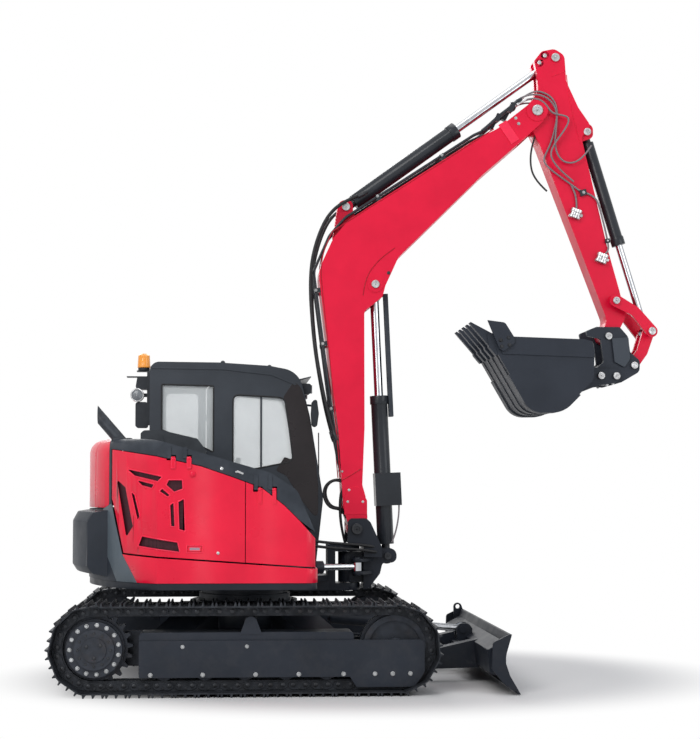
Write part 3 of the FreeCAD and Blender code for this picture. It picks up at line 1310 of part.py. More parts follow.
def build():
    left = {"track": track(), "sprocket": sprocket(), "idler": idler(), "track_frame": track_frame()}
    for name, shape in left.items():
        nodes[name + "_left"] = shape
        nodes[name + "_right"] = mirrored(shape)
    nodes["track_rollers"] = both(rollers())
    nodes["center_frame"] = center_frame()
    nodes["slew_ring"] = slew_ring()
    nodes["blade"] = blade()
    barrel, rod = ram(BLADE_CYL_BASE, BLADE_CYL_ROD, 880, 80, 55, 30, 48)
    nodes["blade_cylinder_barrel"] = barrel
    nodes["blade_cylinder_rod"] = rod
    nodes["revolving_frame"] = deck()
    nodes["swing_bracket"], nodes["swing_pin"] = swing_bracket()
    nodes["swing_cylinder_barrel"], nodes["swing_cylinder_rod"] = swing_cylinder()
    nodes["boom"] = boom()
    nodes["boom_pipes"] = boom_pipes(nodes["boom"])
    boom_ram = ram(BOOM_CYL_BASE, BOOM_CYL_ROD, 1350, 520, 70, 37, 68)
    boom_ram = guarded(*boom_ram, BOOM_CYL_BASE, BOOM_CYL_ROD)
    nodes["boom_cylinder_barrel"], nodes["boom_cylinder_rod"] = boom_ram
    barrel, rod = ram(ARM_CYL_BASE, ARM_CYL_ROD, 1182, 830, 65, 33, 60)
    nodes["arm_cylinder_barrel"] = barrel
    nodes["arm_cylinder_rod"] = rod
    nodes["arm"] = arm()
    barrel, rod = ram(BUCKET_CYL_BASE, GUIDE_ROD, 1007, 430, 52, 30, 52)
    nodes["bucket_cylinder_barrel"] = barrel
    nodes["bucket_cylinder_rod"] = rod
    nodes["guide_link"] = guide_link()
    nodes["bucket_link"] = bucket_link()
    nodes["quick_coupler"] = coupler()
    nodes["bucket"] = fuse(bucket(), bucket_teeth())
    nodes.update(house_pieces())
    nodes["exhaust"] = exhaust()
    nodes["air_intake"] = air_intake()
    nodes["counterweight"] = counterweight(nodes["corner_panels"])
    nodes["rear_weight"] = add_on_weight()
    nodes["engine_block"] = engine()
    nodes.update(cab_pieces())
    nodes["cab_fittings"], nodes["beacon"] = cab_fittings()
    nodes["controls"] = controls()
    nodes["seat"] = seat()


build()
os.makedirs("parts", exist_ok=True)
corners = [p for shape in nodes.values() for p in shape.tessellate(1.0)[0]]
middle = (min(p.x for p in corners) + max(p.x for p in corners)) / 2
print("origin is at machine x", round(middle, 3), "box", min(p.x for p in corners), max(p.x for p in corners))
for name, shape in nodes.items():
    shape.translate(V(-middle, 0, 0))
    shape.exportStep(f"parts/{name}.step")
    print(name, shape.isValid(), len(shape.Solids), round(shape.Volume / 1e9, 4))
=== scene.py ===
import bpy
import bmesh
import math
from mathutils import Matrix, Vector


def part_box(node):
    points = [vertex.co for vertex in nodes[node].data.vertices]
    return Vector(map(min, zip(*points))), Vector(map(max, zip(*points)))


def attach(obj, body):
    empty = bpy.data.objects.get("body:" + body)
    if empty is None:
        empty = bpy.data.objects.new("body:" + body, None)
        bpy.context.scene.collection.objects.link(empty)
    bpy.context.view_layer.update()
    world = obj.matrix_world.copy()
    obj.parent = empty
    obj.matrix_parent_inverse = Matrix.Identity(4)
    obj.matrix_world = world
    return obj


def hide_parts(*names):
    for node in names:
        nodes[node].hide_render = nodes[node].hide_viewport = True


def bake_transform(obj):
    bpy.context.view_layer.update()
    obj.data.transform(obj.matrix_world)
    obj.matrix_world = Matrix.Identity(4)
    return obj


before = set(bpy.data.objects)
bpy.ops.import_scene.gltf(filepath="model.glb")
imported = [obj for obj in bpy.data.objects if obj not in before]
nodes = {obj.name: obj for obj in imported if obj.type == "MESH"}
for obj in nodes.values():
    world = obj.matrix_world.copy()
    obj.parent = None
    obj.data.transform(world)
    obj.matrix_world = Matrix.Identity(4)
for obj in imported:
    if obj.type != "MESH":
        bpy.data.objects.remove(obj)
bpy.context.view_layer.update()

# ---------------------------------------------------------------- frame of the machine
# lengths below are in millimetres from the slew axis (X forward, Y left, Z up from the ground)
ring_low, ring_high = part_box("slew_ring")
SLEW_X = (ring_low[0] + ring_high[0]) / 2


def P(x, y, z):
    """A point of the machine in the row frame, in metres."""
    return Vector((SLEW_X + x / 1000, y / 1000, z / 1000))


# ---------------------------------------------------------------- camera
FOCAL_PX, LONG_PX = 1378.4, 739.0
SHIFT = 0.06
data = bpy.data.cameras.new("camera")
camera = bpy.data.objects.new("camera", data)
bpy.context.scene.collection.objects.link(camera)
data.sensor_width = 36.0
data.lens = FOCAL_PX / LONG_PX * data.sensor_width
data.shift_x, data.shift_y = SHIFT, SHIFT
camera.location = P(-107, -11637, 1582)
camera.rotation_euler = (math.radians(90 + 3.041), 0, math.radians(-3.05))
bpy.context.scene.camera = camera
bpy.context.scene.view_settings.view_transform = "Standard"


# ---------------------------------------------------------------- materials
def srgb(r, g, b):
    """8-bit screen colour as linear colour."""
    return tuple(((c / 255 + 0.055) / 1.055) ** 2.4 if c > 10 else c / 255 / 12.92 for c in (r, g, b)) + (1.0,)


class Mat:
    """A node material on one Principled shader, with helpers that feed its sockets."""

    def __init__(self, name, colour, rough, metal=0.0, coat=0.0, spec=0.3):
        self.material = bpy.data.materials.new(name)
        self.material.use_nodes = True
        self.tree = self.material.node_tree
        self.shader = self.tree.nodes["Principled BSDF"]
        self.coords = self.tree.nodes.new("ShaderNodeTexCoord").outputs["Object"]
        self.base = colour
        s = self.shader.inputs
        s["Base Color"].default_value = colour
        s["Roughness"].default_value = rough
        s["Metallic"].default_value = metal
        s["Coat Weight"].default_value = coat
        s["Coat Roughness"].default_value = 0.08
        s["Specular IOR Level"].default_value = spec
        self.rough = rough
        self.height = None

    def link(self, a, b):
        self.tree.links.new(a, b)

    def noise(self, scale, detail=4.0, rough=0.55, stretch=(1, 1, 1)):
        mapping = self.tree.nodes.new("ShaderNodeMapping")
        mapping.inputs["Scale"].default_value = stretch
        self.link(self.coords, mapping.inputs["Vector"])
        n = self.tree.nodes.new("ShaderNodeTexNoise")
        n.inputs["Scale"].default_value = scale
        n.inputs["Detail"].default_value = detail
        n.inputs["Roughness"].default_value = rough
        self.link(mapping.outputs[0], n.inputs["Vector"])
        return n.outputs["Fac"]

    def span(self, value, a, b, lo=0.0, hi=1.0, smooth=False):
        n = self.tree.nodes.new("ShaderNodeMapRange")
        if smooth:
            n.interpolation_type = "SMOOTHSTEP"
        for i, v in enumerate((a, b, lo, hi)):
            n.inputs[i + 1].default_value = v
        self.link(value, n.inputs[0])
        return n.outputs[0]

    def math(self, kind, a, b):
        n = self.tree.nodes.new("ShaderNodeMath")
        n.operation = kind
        for i, v in enumerate((a, b)):
            if isinstance(v, (int, float)):
                n.inputs[i].default_value = v
            else:
                self.link(v, n.inputs[i])
        return n.outputs[0]

    def mix(self, factor, a, b, kind="MIX"):
        n = self.tree.nodes.new("ShaderNodeMix")
        n.data_type = "RGBA"
        n.blend_type = kind
        sockets = [s for s in n.inputs if s.type == "RGBA"]
        for socket, v in zip(sockets, (a, b)):
            if isinstance(v, tuple):
                socket.default_value = v
            else:
                self.link(v, socket)
        if isinstance(factor, (int, float)):
            n.inputs[0].default_value = factor
        else:
            self.link(factor, n.inputs[0])
        return [s for s in n.outputs if s.type == "RGBA"][0]

    def edges(self, low=0.6, high=0.72):
        """Where the surface is sharply convex."""
        g = self.tree.nodes.new("ShaderNodeNewGeometry")
        return self.span(g.outputs["Pointiness"], low, high)

    def up(self):
        g = self.tree.nodes.new("ShaderNodeNewGeometry")
        s = self.tree.nodes.new("ShaderNodeSeparateXYZ")
        self.link(g.outputs["Normal"], s.inputs[0])
        return s.outputs["Z"]

    def low_down(self, bottom, top):
        """1 near the ground and 0 above."""
        s = self.tree.nodes.new("ShaderNodeSeparateXYZ")
        self.link(self.coords, s.inputs[0])
        return self.span(s.outputs["Z"], bottom, top, 1.0, 0.0)

    def colour(self, socket):
        self.link(socket, self.shader.inputs["Base Color"])
        return self

    def roughness(self, value, lo, hi):
        self.link(self.span(value, 0.3, 0.7, lo, hi), self.shader.inputs["Roughness"])
        return self

    def bump(self, value, strength=0.2, depth=0.001):
        n = self.tree.nodes.new("ShaderNodeBump")
        n.inputs["Strength"].default_value = strength
        n.inputs["Distance"].default_value = depth
        self.link(value, n.inputs["Height"])
        if self.height is not None:
            self.link(self.height, n.inputs["Normal"])
        self.height = n.outputs[0]
        self.link(self.height, self.shader.inputs["Normal"])
        return self


SWELL = 0.503  # length of one slow wave in the sheet of the covers


def painted(name, colour, rough, coat, dust=0.25, wear=0.0, peel=0.12, fleck=0.06, flow=0.0):
    """Sprayed paint: slight mottle, orange peel, thin dust, worn edges and slow waves in the sheet."""
    m = Mat(name, colour, rough, coat=coat, spec=0.2)
    mottle = m.noise(3.0, 5.0)
    fine = m.noise(55.0, 3.0)
    dark = tuple(c * (1 - fleck * 2.2) for c in colour[:3]) + (1.0,)
    light = tuple(min(1.0, c * (1 + fleck * 1.6) + 0.002) for c in colour[:3]) + (1.0,)
    tone = m.mix(m.span(mottle, 0.35, 0.65), dark, light)
    dusty = srgb(150, 142, 132)
    cover = m.math("MULTIPLY", m.span(m.up(), 0.55, 1.0), m.span(m.noise(7.0, 6.0), 0.4, 0.75, 0.0, dust))
    tone = m.mix(cover, tone, dusty)
    low = m.math("MULTIPLY", m.low_down(0.0, 1.0), m.span(m.noise(9.0, 7.0, 0.65), 0.45, 0.72, 0.0, dust * 0.8))
    tone = m.mix(low, tone, dusty)
    if wear:
        bare = m.math("MULTIPLY", m.edges(), m.span(m.noise(30.0, 5.0), 0.45, 0.6, 0.0, wear))
        tone = m.mix(bare, tone, srgb(150, 148, 146))
    m.colour(tone)
    m.roughness(m.noise(5.0, 4.0), rough - 0.05, rough + 0.1)
    m.bump(m.noise(420.0, 2.0), peel * 0.5, 0.0004)
    m.bump(fine, peel, 0.0006)
    if flow:
        m.bump(m.noise(1.6, 1.0, 0.4, (1.6, 1.0, 0.35)), flow, 0.02)
        split = m.tree.nodes.new("ShaderNodeSeparateXYZ")
        m.link(m.coords, split.inputs[0])
        turn = 2 * math.pi / SWELL
        wave = m.math("SINE", m.math("MULTIPLY", m.math("SUBTRACT", split.outputs["X"], SLEW_X - 0.321), turn), 0.0)
        m.bump(wave, 1.0, 0.014)
    return m.material


def plastic(name, colour, rough, grain=900.0, depth=0.25, dust=0.2):
    """Moulded plastic with a leather-like grain."""
    m = Mat(name, colour, rough, spec=0.2)
    pale = tuple(min(1.0, c * 1.5 + 0.006) for c in colour[:3]) + (1.0,)
    tone = m.mix(m.span(m.noise(6.0, 5.0), 0.35, 0.7), colour, pale)
    cover = m.math("MULTIPLY", m.span(m.up(), 0.5, 1.0), m.span(m.noise(8.0, 6.0), 0.4, 0.75, 0.0, dust))
    m.colour(m.mix(cover, tone, srgb(128, 124, 118)))
    m.roughness(m.noise(14.0, 4.0), rough - 0.06, rough + 0.1)
    m.bump(m.noise(grain, 1.0), depth, 0.0005)
    return m.material


def steel(name, colour, rough, metal=1.0, scratch=0.15, stain=0.3, stain_colour=(70, 58, 48), bump=0.15, scale=24.0):
    """Bare or blackened steel with fine scratches and stains."""
    m = Mat(name, colour, rough, metal=metal)
    dark = tuple(c * 0.62 for c in colour[:3]) + (1.0,)
    tone = m.mix(m.span(m.noise(scale, 6.0), 0.35, 0.65), dark, colour)
    tone = m.mix(m.span(m.noise(scale * 0.35, 7.0, 0.65), 0.5, 0.75, 0.0, stain), tone, srgb(*stain_colour))
    m.colour(tone)
    m.roughness(m.noise(scale * 2, 5.0), max(0.04, rough - scratch), rough + scratch)
    m.bump(m.noise(scale * 8, 4.0), bump, 0.0008)
    return m.material


def chromed():
    """Ground and plated rod: faint rings and darker edges."""
    m = Mat("chrome", srgb(186, 189, 193), 0.1, metal=1.0)
    m.shader.inputs["Specular Tint"].default_value = (0.3, 0.32, 0.35, 1.0)
    rings = m.noise(40.0, 3.0, 0.5, (1.0, 1.0, 0.05))
    m.colour(m.mix(m.span(rings, 0.3, 0.7), srgb(170, 173, 178), srgb(200, 202, 206)))
    m.roughness(m.noise(90.0, 3.0), 0.07, 0.16)
    return m.material


def guarded_rod(base, end, reach):
    """Plated rod whose painted guard stands off on its front side, reach metres from the axis."""
    m = Mat("guarded_rod", srgb(186, 189, 193), 0.1, metal=1.0)
    m.shader.inputs["Specular Tint"].default_value = (0.3, 0.32, 0.35, 1.0)
    along = (end - base).normalized()
    out = Vector((along.z, 0, -along.x))
    dot = m.tree.nodes.new("ShaderNodeVectorMath")
    dot.operation = "DOT_PRODUCT"
    m.link(m.coords, dot.inputs[0])
    dot.inputs[1].default_value = out
    start = base.dot(out) + reach
    plate = m.span(dot.outputs["Value"], start - 0.001, start)
    shine = m.mix(m.span(m.noise(40.0, 3.0), 0.3, 0.7), srgb(170, 173, 178), srgb(200, 202, 206))
    paint = m.mix(m.span(m.noise(9.0, 4.0), 0.3, 0.7), srgb(50, 54, 60), srgb(66, 70, 76))
    m.colour(m.mix(plate, shine, paint))
    m.link(m.span(plate, 0.0, 1.0, 1.0, 0.0), m.shader.inputs["Metallic"])
    m.link(m.span(plate, 0.0, 1.0, 0.1, 0.45), m.shader.inputs["Roughness"])
    m.bump(m.noise(300.0, 2.0), 0.04, 0.0004)
    return m.material


def track_steel():
    """Shoes: dark coated steel, polished on the grousers, dusty in scattered patches."""
    m = Mat("track_steel", srgb(38, 40, 45), 0.55, metal=0.3)
    tone = m.mix(m.span(m.noise(16.0, 6.0), 0.35, 0.65), srgb(26, 29, 34), srgb(46, 49, 55))
    tone = m.mix(m.span(m.noise(5.0, 7.0, 0.66), 0.5, 0.75, 0.0, 0.12), tone, srgb(80, 76, 72))
    tone = m.mix(m.math("MULTIPLY", m.edges(low=0.56, high=0.66), 0.5), tone, srgb(128, 130, 134))
    m.colour(tone)
    m.roughness(m.noise(30.0, 5.0), 0.42, 0.68)
    m.bump(m.noise(130.0, 5.0), 0.35, 0.0012)
    return m.material


def glass():
    # Pale glass: its nearly white base colour at partial opacity is a painted reflection of the white surroundings,
    # laid over its own gloss.
    m = Mat("glass_painted_reflection", srgb(244, 250, 252), 0.03, spec=0.9)
    s = m.shader.inputs
    s["Transmission Weight"].default_value = 0.0
    s["IOR"].default_value = 1.45
    m.link(m.span(m.noise(2.2, 4.0), 0.3, 0.7, 0.32, 0.38), s["Alpha"])
    m.roughness(m.noise(6.0, 3.0), 0.02, 0.06)
    m.bump(m.noise(1.3, 2.0), 0.02, 0.002)
    return m.material


def rubber(name="rubber", colour=(24, 25, 27), rough=0.62):
    m = Mat(name, srgb(*colour), rough, spec=0.3)
    m.colour(m.mix(m.span(m.noise(20.0, 5.0), 0.35, 0.7), srgb(*colour), srgb(*[c + 16 for c in colour])))
    m.roughness(m.noise(40.0, 3.0), rough - 0.1, rough + 0.12)
    m.bump(m.noise(700.0, 2.0), 0.25, 0.0004)
    return m.material


def hose_skin(name, colour):
    """Braided outer cover: a fine diagonal weave."""
    m = Mat(name, srgb(*colour), 0.6, spec=0.35)
    waves = []
    for direction in ((0.7, 0.2, 0.7), (-0.7, 0.2, 0.7)):
        mapping = m.tree.nodes.new("ShaderNodeMapping")
        mapping.inputs["Rotation"].default_value = direction
        m.link(m.coords, mapping.inputs["Vector"])
        w = m.tree.nodes.new("ShaderNodeTexWave")
        w.inputs["Scale"].default_value = 130.0
        w.inputs["Distortion"].default_value = 0.6
        m.link(mapping.outputs[0], w.inputs["Vector"])
        waves.append(w.outputs["Fac"])
    weave = m.math("MULTIPLY", waves[0], waves[1])
    m.colour(m.mix(m.span(weave, 0.1, 0.8), srgb(*[c * 0.8 for c in colour]), srgb(*[c * 1.15 + 5 for c in colour])))
    m.roughness(m.noise(30.0, 3.0), 0.5, 0.72)
    m.bump(weave, 0.3, 0.0006)
    return m.material


def mesh_screen():
    """Punched sheet: rows of round holes shown as dark dots of painted shade, in dark coated metal whose maroon tint is
    a painted reflection of the red covers.
    """
    m = Mat("punched_screen", srgb(30, 20, 24), 0.5, metal=0.3)
    voronoi = m.tree.nodes.new("ShaderNodeTexVoronoi")
    voronoi.inputs["Scale"].default_value = 95.0
    voronoi.inputs["Randomness"].default_value = 0.0
    m.link(m.coords, voronoi.inputs["Vector"])
    holes = m.span(voronoi.outputs["Distance"], 0.3, 0.42)
    # near-black dots: painted shade in the holes; maroon metal: painted reflection of the red covers
    m.colour(m.mix(holes, srgb(10, 8, 9), srgb(66, 30, 40)))
    m.roughness(m.noise(25.0, 3.0), 0.45, 0.65)
    m.bump(holes, 0.8, 0.002)
    return m.material


def woven(name, a, b, scale=900.0):
    """Seat cloth: crossed threads with a slight sheen."""
    m = Mat(name, srgb(*a), 0.85, spec=0.2)
    m.shader.inputs["Sheen Weight"].default_value = 0.35
    threads = []
    for axis in ("X", "Z"):
        w = m.tree.nodes.new("ShaderNodeTexWave")
        w.bands_direction = axis
        w.inputs["Scale"].default_value = scale / 6
        w.inputs["Distortion"].default_value = 0.4
        m.link(m.coords, w.inputs["Vector"])
        threads.append(w.outputs["Fac"])
    weave = m.math("MULTIPLY", threads[0], threads[1])
    tone = m.mix(m.span(m.noise(5.0, 4.0), 0.35, 0.65), srgb(*a), srgb(*b))
    m.colour(m.mix(m.span(weave, 0.0, 0.8, 0.0, 0.5), tone, srgb(*[c * 1.3 + 8 for c in b])))
    m.roughness(m.noise(20.0, 3.0), 0.78, 0.92)
    m.bump(weave, 0.5, 0.0006)
    return m.material


def lens(name, colour, ribs=160.0, glow=0.0):
    """Moulded lens with fine ribs under clear plastic."""
    m = Mat(name, colour, 0.12, coat=0.6)
    w = m.tree.nodes.new("ShaderNodeTexWave")
    w.bands_direction = "DIAGONAL"
    w.inputs["Scale"].default_value = ribs
    m.link(m.coords, w.inputs["Vector"])
    dark = tuple(c * 0.7 for c in colour[:3]) + (1.0,)
    m.colour(m.mix(w.outputs["Fac"], dark, colour))
    m.roughness(m.noise(30.0, 2.0), 0.1, 0.2)
    m.bump(w.outputs["Fac"], 0.4, 0.001)
    if glow:
        m.shader.inputs["Emission Color"].default_value = colour
        m.shader.inputs["Emission Strength"].default_value = glow
    return m.material


RED = painted("red_paint", srgb(222, 13, 56), 0.34, 0.12, dust=0.03, fleck=0.03)
COVER = painted("cover_paint", srgb(226, 10, 54), 0.3, 0.3, dust=0.03, fleck=0.03, flow=0.3)
# Darker red for the seam beads: painted shade of the dark band along the boom's plate edges.
WELD = painted("red_weld_painted_shade", srgb(176, 8, 38), 0.4, 0.1, dust=0.03, peel=0.5)
CAB = painted("cab_grey", srgb(52, 57, 64), 0.42, 0.05, dust=0.06, fleck=0.05)
DARK = painted("frame_grey", srgb(36, 41, 50), 0.44, 0.04, dust=0.05, wear=0.3, peel=0.2, fleck=0.05)
BLADE = painted("blade_grey", srgb(26, 31, 40), 0.46, 0.04, dust=0.04, wear=0.25, peel=0.2, fleck=0.05)
BUCKET = painted("bucket_grey", srgb(40, 45, 54), 0.46, 0.04, dust=0.05, wear=0.3, peel=0.22, fleck=0.05)
PANEL = painted("panel_grey", srgb(84, 94, 102), 0.42, 0.08, dust=0.08, fleck=0.05)
WEIGHT = painted("casting_grey", srgb(36, 42, 51), 0.5, 0.05, dust=0.1, peel=0.5, fleck=0.06)
BARREL = painted("cylinder_black", srgb(38, 42, 48), 0.34, 0.15, dust=0.05, peel=0.12, fleck=0.08)
BLACK = plastic("black_plastic", srgb(38, 42, 47), 0.5, dust=0.06)
TRIM = plastic("hood_trim", srgb(42, 47, 54), 0.44, dust=0.04)
TRACK = track_steel()
CAST = steel("cast_iron", srgb(52, 56, 64), 0.55, metal=0.35, stain=0.25, bump=0.35)
PIN = steel("pin_steel", srgb(205, 206, 208), 0.28, metal=0.85, stain=0.12, stain_colour=(150, 146, 140), bump=0.08)
ZINC = steel("zinc_bolt", srgb(186, 188, 190), 0.34, metal=0.8, stain=0.2, stain_colour=(120, 112, 100), bump=0.1)
BOLT = steel("black_bolt", srgb(60, 62, 66), 0.4, metal=0.7, stain=0.2, bump=0.15)
WORN = steel("worn_edge", srgb(120, 120, 122), 0.38, metal=0.8, stain=0.35, bump=0.3)
SOOT = steel("exhaust_steel", srgb(62, 66, 72), 0.5, metal=0.5, stain=0.5, stain_colour=(58, 50, 46), bump=0.2)
CHROME = chromed()
ROD = guarded_rod(P(1194, 0, 1006), P(1094, 0, 3289), 0.052)
GLASS = glass()
RUBBER = rubber()
HOSE = hose_skin("hose_black", (30, 31, 34))
GREY_HOSE = hose_skin("hose_grey", (136, 128, 132))
SCREEN = mesh_screen()
FABRIC = woven("seat_cloth", (40, 42, 46), (58, 60, 66))
AMBER = lens("amber_lens", srgb(250, 160, 50), glow=0.15)
WHITE_LENS = lens("lamp_lens", srgb(120, 126, 132))
RED_LENS = lens("red_lens", srgb(190, 20, 24))
ENGINE = steel("engine_iron", srgb(70, 72, 76), 0.5, metal=0.5, stain=0.3)
# A lighter copy of the red paint: painted highlight for rims and bands that catch the light.
RED_HIGHLIGHT = painted("red_painted_highlight", srgb(240, 44, 78), 0.34, 0.12, dust=0.03, fleck=0.03)
TINT = painted("tinted_pillar", srgb(33, 27, 30), 0.24, 0.2, dust=0.03, fleck=0.08)
PANEL_DARK = painted("coupler_grey", srgb(58, 64, 72), 0.4, 0.08, dust=0.04)
PADDLE = painted("paddle_grey", srgb(150, 128, 140), 0.4, 0.2)
MIRROR = steel("mirror_glass", srgb(225, 230, 235), 0.05, metal=1.0, stain=0.03, bump=0.0, scratch=0.02)

LOOK = {
    RED: "boom arm guide_link bucket_link",
    COVER: "side_cover_rear side_cover_front rear_hood rear_corner lower_skirt",
    CAB: "cab_right_side cab_left_side cab_front cab_rear cab_roof cab_floor cab_door",
    DARK: "track_frame_left track_frame_right center_frame slew_ring blade_cylinder_barrel swing_cylinder_barrel",
    BLADE: "blade swing_bracket revolving_frame",
    BUCKET: "bucket quick_coupler",
    PANEL: "corner_panels",
    WEIGHT: "counterweight rear_weight",
    BARREL: "boom_cylinder_barrel arm_cylinder_barrel bucket_cylinder_barrel boom_pipes",
    BLACK: "cab_fittings controls air_intake",
    TRIM: "hood_top",
    TRACK: "track_left track_right",
    CAST: "sprocket_left sprocket_right idler_left idler_right track_rollers",
    ROD: "boom_cylinder_rod",
    CHROME: "arm_cylinder_rod bucket_cylinder_rod blade_cylinder_rod swing_cylinder_rod",
    PIN: "swing_pin",
    SOOT: "exhaust",
    GLASS: "cab_glass door_glass",
    SCREEN: "grille_screen",
    FABRIC: "seat",
    AMBER: "beacon",
    ENGINE: "engine_block",
}


def dress(obj, material):
    obj.data.materials.clear()
    obj.data.materials.append(material)


for material, names in LOOK.items():
    for name in names.split():
        if name in nodes:
            dress(nodes[name], material)
print("undressed", [n for n in nodes if not any(n in names.split() for names in LOOK.values())])

# ---------------------------------------------------------------- softened edges of the CAD pieces
ROUND = {
    "boom": 6, "arm": 5, "guide_link": 4, "bucket_link": 4, "side_cover_rear": 6, "side_cover_front": 3,
    "rear_hood": 3, "rear_corner": 3, "lower_skirt": 3, "hood_top": 4, "cab_right_side": 5, "cab_left_side": 5,
    "cab_front": 5, "cab_rear": 5, "cab_roof": 6, "cab_door": 4, "corner_panels": 3, "counterweight": 8,
    "rear_weight": 12, "bucket": 4, "quick_coupler": 5, "swing_bracket": 6, "blade": 5, "revolving_frame": 5,
    "track_frame_left": 6, "track_frame_right": 6, "center_frame": 8, "air_intake": 6, "track_left": 2,
    "track_right": 2, "sprocket_left": 3, "sprocket_right": 3, "idler_left": 4, "idler_right": 4,
    "boom_cylinder_barrel": 3, "arm_cylinder_barrel": 3, "bucket_cylinder_barrel": 3, "cab_fittings": 3,
    "controls": 5, "beacon": 4,
}


def soften(obj, width):
    weld = obj.modifiers.new("weld", "WELD")
    weld.merge_threshold = 0.00005
    bevel = obj.modifiers.new("bevel", "BEVEL")
    bevel.width = width / 1000
    bevel.segments = 2
    bevel.limit_method = "ANGLE"
    bevel.angle_limit = math.radians(35)
    bevel.harden_normals = True
    bevel.use_clamp_overlap = True


for name, width in ROUND.items():
    if name in nodes:
        soften(nodes[name], width)

# ---------------------------------------------------------------- forms for the added pieces
def basis(axis):
    """Rotation that turns +Z to that axis."""
    return Vector((0, 0, 1)).rotation_difference(Vector(axis).normalized()).to_matrix().to_4x4()


class Shape:
    """Collects turned and cut forms, given in millimetres, into one mesh."""

    def __init__(self):
        self.bm = bmesh.new()

    def rings(self, rows, closed=True):
        """Skins rows of points, each row a ring, with flat ends."""
        rows = [[self.bm.verts.new(p) for p in row] for row in rows]
        n = len(rows[0])
        for a, b in zip(rows, rows[1:]):
            for i in range(n):
                self.bm.faces.new((a[i], a[(i + 1) % n], b[(i + 1) % n], b[i]))
        if closed:
            self.bm.faces.new(list(reversed(rows[0])))
            self.bm.faces.new(rows[-1])

    def lathe(self, place, axis, profile, sides=32, twist=0.0):
        """Turned form on an axis: profile is a list of (radius, height)."""
        turn = Matrix.Translation(P(*place)) @ basis(axis)
        rows = []
        for r, h in profile:
            row = []
            for i in range(sides):
                a = twist + 2 * math.pi * i / sides
                row.append(turn @ Vector((r * math.cos(a), r * math.sin(a), h)))
            rows.append(row)
        self.rings(rows)

    def disc(self, place, axis, radius, height, chamfer=2.0, sides=32):
        r, h, c = radius / 1000, height / 1000, chamfer / 1000
        self.lathe(place, axis, [(r, 0), (r, h - c), (r - c * 0.4, h - c * 0.3), (r - c, h)], sides)

    def bolt(self, place, axis, size):
        """Hexagon head on its washer; size is half the width over the corners."""
        s = size / 1000
        self.lathe(place, axis, [(s * 1.25, 0), (s * 1.25, s * 0.16), (s * 1.2, s * 0.2)], 24)
        head = [(s, s * 0.18), (s, s * 0.72), (s * 0.86, s * 0.86)]
        self.lathe(place, axis, head, 6, twist=0.35)

    def cap(self, place, axis, radius):
        """Pin end: chamfered disc, shallow ring and a grease point in the middle."""
        r = radius / 1000
        rows = [(r, 0), (r, r * 0.22), (r * 0.92, r * 0.3), (r * 0.5, r * 0.3), (r * 0.46, r * 0.2), (r * 0.2, r * 0.2)]
        self.lathe(place, axis, rows)
        self.lathe(place, axis, [(r * 0.16, r * 0.18), (r * 0.16, r * 0.4), (r * 0.07, r * 0.5)], 12)

    def plate(self, outline, y0, y1):
        """Plate between two Y, its outline given in X and Z."""
        self.rings([[P(x, y, z) for x, z in outline] for y in (y0, y1)])

    def slab_x(self, outline, x0, x1):
        """Plate between two X, its outline given in Y and Z."""
        self.rings([[P(x, y, z) for y, z in outline] for x in (x0, x1)])

    def slab_z(self, outline, z0, z1):
        """Plate between two Z, its outline given in X and Y."""
        self.rings([[P(x, y, z) for x, y in outline] for z in (z0, z1)])

    def make(self, name, material, body, bevel=0.0, smooth=True):
        bmesh.ops.recalc_face_normals(self.bm, faces=self.bm.faces)
        mesh = bpy.data.meshes.new(name)
        self.bm.to_mesh(mesh)
        self.bm.free()
        obj = bpy.data.objects.new(name, mesh)
        bpy.context.scene.collection.objects.link(obj)
        mesh.materials.append(material)
        if smooth:
            mesh.shade_smooth()
            mesh.set_sharp_from_angle(angle=math.radians(32))
        if bevel:
            soften(obj, bevel)
        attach(obj, body)
        return obj


def rounded(outline, steps=6):
    """Outline of (a, b) or (a, b, radius) corners as plain points."""
    points = []
    n = len(outline)
    for i, corner in enumerate(outline):
        here = Vector(corner[:2])
        if len(corner) < 3 or not corner[2]:
            points.append(tuple(here))
            continue
        back = Vector(outline[i - 1][:2]) - here
        ahead = Vector(outline[(i + 1) % n][:2]) - here
        half = back.angle(ahead) / 2
        reach = min(corner[2] / math.tan(half), 0.45 * back.length, 0.45 * ahead.length)
        first, last = here + back.normalized() * reach, here + ahead.normalized() * reach
        for k in range(steps + 1):
            t = k / steps
            points.append(tuple((1 - t) ** 2 * first + 2 * t * (1 - t) * here + t * t * last))
    return points


def pipe(name, points, radius, material, body=None, across=None, cyclic=False, straight=False):
    """Hose, pipe or bead along points in millimetres, riding on a body, or left unattached in place when it lies across
    a joint.
    """
    curve = bpy.data.curves.new(name, "CURVE")
    curve.dimensions = "3D"
    curve.bevel_depth = radius / 1000
    curve.bevel_resolution = 4
    curve.resolution_u = 1 if straight else 6
    curve.use_fill_caps = True
    spline = curve.splines.new("POLY" if straight else "NURBS")
    spline.points.add(len(points) - 1)
    for point, place in zip(spline.points, points):
        point.co = (*P(*place), 1)
    spline.use_cyclic_u = cyclic
    if not straight:
        spline.order_u = 4 if len(points) > 3 else 3
        spline.use_endpoint_u = not cyclic
    maker = bpy.data.objects.new(name + "_line", curve)
    bpy.context.scene.collection.objects.link(maker)
    mesh = bpy.data.meshes.new_from_object(maker.evaluated_get(bpy.context.evaluated_depsgraph_get()))
    bpy.data.objects.remove(maker)
    mesh.name = name
    obj = bpy.data.objects.new(name, mesh)
    bpy.context.scene.collection.objects.link(obj)
    mesh.materials.clear()
    mesh.materials.append(material)
    mesh.shade_smooth()
    if across:
        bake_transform(obj)
    else:
        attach(obj, body)
    return obj


def corners_near(node, x, z, reach):
    """Outermost Y of the node's corners within reach of a line along Y, on each side."""
    mesh = nodes[node].data
    middle = P(x, 0, z)
    ys = [v.co.y * 1000 for v in mesh.vertices if math.hypot(v.co.x - middle.x, v.co.z - middle.z) < reach / 1000]
    return (min(ys), max(ys)) if ys else (0.0, 0.0)


